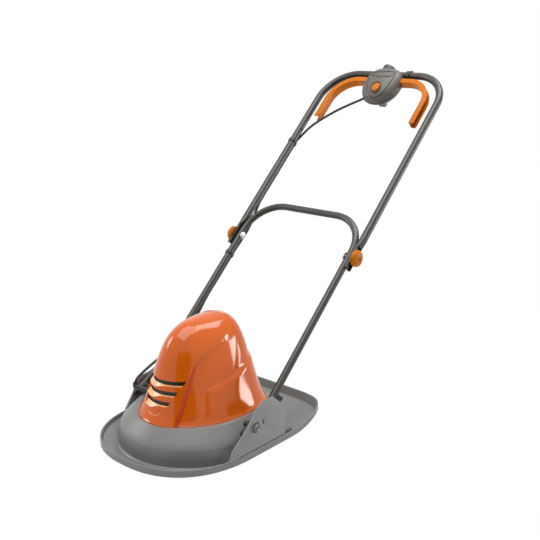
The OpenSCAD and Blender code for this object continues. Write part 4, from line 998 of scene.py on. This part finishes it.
    def add_panel_step_shade(self, name, side, start, end):
        """Painted shade: a deep orange strip over the slope of the front panel's step, between two shares of the
        height.
        """
        begin, span = PANEL_SHADE_TAPER
        rows = 40
        columns = 6
        points = []
        for i in range(rows + 1):
            share = start + (end - start) * i / rows
            width = PANEL_SHADE_WIDTH * (1.02 - smooth((share - begin) / span))
            for j in range(columns + 1):
                turn = panel_reach(share) + 0.3 - width * j / columns
                points.append(cover_point((270 + side * turn) % 360, share))
        faces = []
        for i in range(rows):
            for j in range(columns):
                a = i * (columns + 1) + j
                faces.append((a, a + 1, a + columns + 2, a + columns + 1))
        mesh = baked(from_faces(points, faces), ("SOLIDIFY", {"thickness": 0.4 * MM, "offset": 0}))
        shade(mesh, 50)
        put(name, mesh, "panel_edge", "deck")

    def front_at(self, x, z, inset):
        """Point on the cover's front, or behind it by an inset, at x and z."""
        share = (z - COVER_LOW) / COVER_H
        low, high = 190.0, 350.0
        for _ in range(40):
            middle = (low + high) / 2
            if cover_point(middle, share, inset).x / MM < x:
                low = middle
            else:
                high = middle
        return cover_point((low + high) / 2, share, inset)


class MOWER_OT_handle(MowerStep, bpy.types.Operator):
    """Dress the tubes, their clamps and clips"""

    bl_idname = "mower.handle"
    bl_label = "Handle"

    def execute(self, context):
        dress("lower_handle_tube", "tube_paint", degrees=50)
        dress("upper_handle_tube", "tube_paint", degrees=32)
        dress("tube_plugs", "black_plastic", 0.5)
        dress("clamp_bolts", "steel", 0.4)
        dress("lower_cable_clip", "black_plastic", 0.5)
        dress("upper_cable_clip", "black_plastic", 0.5)
        for side in ("left", "right"):
            dress("knob_" + side, "orange_plastic", 0.8)
            dress("lever_" + side, "orange_plastic", 3.4)
            self.add_knob_mark(side)
        return {"FINISHED"}

    def add_knob_mark(self, side):
        """Dark disc, nearly flush, on the middle of a knob's face: painted shade of a hole there."""
        low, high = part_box("knob_" + side)
        face = high.x if side == "left" else low.x
        middle = Vector(JOINTS["knob_" + side + "_turn"]["pos_m"])
        ends = [Vector((face * share, middle.y, middle.z)) for share in (0.99, 1.001)]
        sweep("knob_mark_" + side, ends, 0.004, "black_rubber", "knob_" + side, 20)


class MOWER_OT_switch_box(MowerStep, bpy.types.Operator):
    """Dress the switch box, its button and its fittings"""

    bl_idname = "mower.switch_box"
    bl_label = "Switch Box"

    def execute(self, context):
        dress("switch_box_front", "box_plastic", degrees=34)
        dress("switch_box_rear", "box_plastic", degrees=34)
        dress("lock_button", "orange_plastic", 0.7)
        dress("mains_inlet", "black_plastic", 0.6)
        dress("cable_restraint", "black_plastic", 0.6)
        self.add_collar()
        self.add_lines()
        return {"FINISHED"}

    def add_collar(self):
        """Raised collar of the box round the right and the back of the inlet."""
        collar = []
        for i in range(33):
            turn = math.radians(COLLAR_START + COLLAR_SPAN * i / 32)
            x = INLET_X + COLLAR_REACH * math.cos(turn)
            collar.append(handle_point(x, COLLAR_U, COLLAR_N + COLLAR_REACH * math.sin(turn)))
        sweep("inlet_collar", collar, 0.0065, "box_plastic", "upper_handle", 16)

    def add_lines(self):
        """Dark lines round the button, the recess, the face and the joint of the shells."""
        bezel = []
        for turn in turns(64):
            v = BEZEL_R * math.sin(turn) + math.copysign(BEZEL_STRETCH, math.sin(turn)) + BUTTON_V
            bezel.append(box_face(BUTTON_X + BEZEL_R * math.cos(turn), v))
        recess = rounded([box_face(*p) for p in RECESS_LINE], 4)
        edge = rounded([box_face(*p) for p in FACE_LINE], 6)
        joint = []
        for turn in turns(120):
            c = math.cos(turn)
            s = math.sin(turn)
            power, high = (BOX_UP_POWER, BOX_UP) if s >= 0 else (BOX_DOWN_POWER, BOX_DOWN)
            k = superellipse(c, s, power)
            joint.append(handle_point(BOX_HALF * k * c, BOX_U + k * s * high, 0))
        for name, line, radius, sides, closed in (
            ("button_bezel", bezel, 0.0014, 10, True),
            ("box_recess_line", recess, 0.0011, 8, False),
            ("box_face_line", edge, 0.0012, 8, False),
            ("box_shell_joint", joint, 0.0009, 8, True),
        ):
            sweep(
                name, line, radius, "joint_line", "upper_handle", sides, closed=closed,
            )


class MOWER_OT_fasteners(MowerStep, bpy.types.Operator):
    """Set the cross-head screws of the brackets"""

    bl_idname = "mower.fasteners"
    bl_label = "Fasteners"

    def execute(self, context):
        up = Vector((0, 0, 1))
        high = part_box("bracket_screws")[1]
        x = high.x - SCREW_HEAD_R * MM
        z = high.z - SCREW_HEAD_H * MM
        spots = []
        for side in (-1, 1):
            for y in BRACKET_SCREW_YS:
                spots.append((Vector((side * x, BLADE_Y + y * MM, z)), up))
        screws(
            "bracket_screw_heads", spots, SCREW_HEAD_R, SCREW_HEAD_H, SCREW_SHANK_R, SCREW_SHANK, "deck",
            "bracket_screws",
        )
        return {"FINISHED"}


class MOWER_OT_motor(MowerStep, bpy.types.Operator):
    """Give the motor, the cutting gear and other inner parts their materials"""

    bl_idname = "mower.motor"
    bl_label = "Motor and Cutting Gear"

    def execute(self, context):
        for form in NODES.values():
            if form.hide_render:
                continue
            for place in form.material_slots:
                kind = place.material.name.split(".")[0] if place.material else "steel"
                place.material = MATERIALS.get(kind, MATERIALS["steel"])
        return {"FINISHED"}


class MOWER_PT_panel(bpy.types.Panel):
    """Panel with the colours, sizes and steps"""

    bl_label = "Hover Mower"
    bl_space_type = "VIEW_3D"
    bl_region_type = "UI"
    bl_category = "Mower"

    def draw(self, context):
        layout = self.layout
        for group in (context.scene.mower_colours, context.scene.mower_sizes):
            box = layout.box()
            for name in group.__annotations__:
                box.prop(group, name)
        for step in STEPS:
            layout.operator(step.bl_idname)


STEPS = (
    MOWER_OT_stage, MOWER_OT_cables, MOWER_OT_hood, MOWER_OT_cover, MOWER_OT_handle, MOWER_OT_switch_box,
    MOWER_OT_fasteners, MOWER_OT_motor,
)
CLASSES = (MowerColours, MowerSizes) + STEPS + (MOWER_PT_panel,)


def register():
    """Registers the classes and the scene's properties."""
    for item in CLASSES:
        bpy.utils.register_class(item)
    bpy.types.Scene.mower_colours = bpy.props.PointerProperty(type=MowerColours)
    bpy.types.Scene.mower_sizes = bpy.props.PointerProperty(type=MowerSizes)


def unregister():
    """Takes the properties and the classes away again."""
    del bpy.types.Scene.mower_sizes
    del bpy.types.Scene.mower_colours
    for item in reversed(CLASSES):
        bpy.utils.unregister_class(item)


def main():
    """Dresses the mower step by step."""
    register()
    make_materials(bpy.context.scene.mower_colours)
    TREES["sweep"] = sweep_tree()
    TREES["screw"] = screw_tree()
    bpy.ops.mower.stage()
    bpy.ops.mower.cables()
    bpy.ops.mower.hood()
    bpy.ops.mower.cover()
    bpy.ops.mower.handle()
    bpy.ops.mower.switch_box()
    bpy.ops.mower.fasteners()
    bpy.ops.mower.motor()


if __name__ == "__main__":
    main()
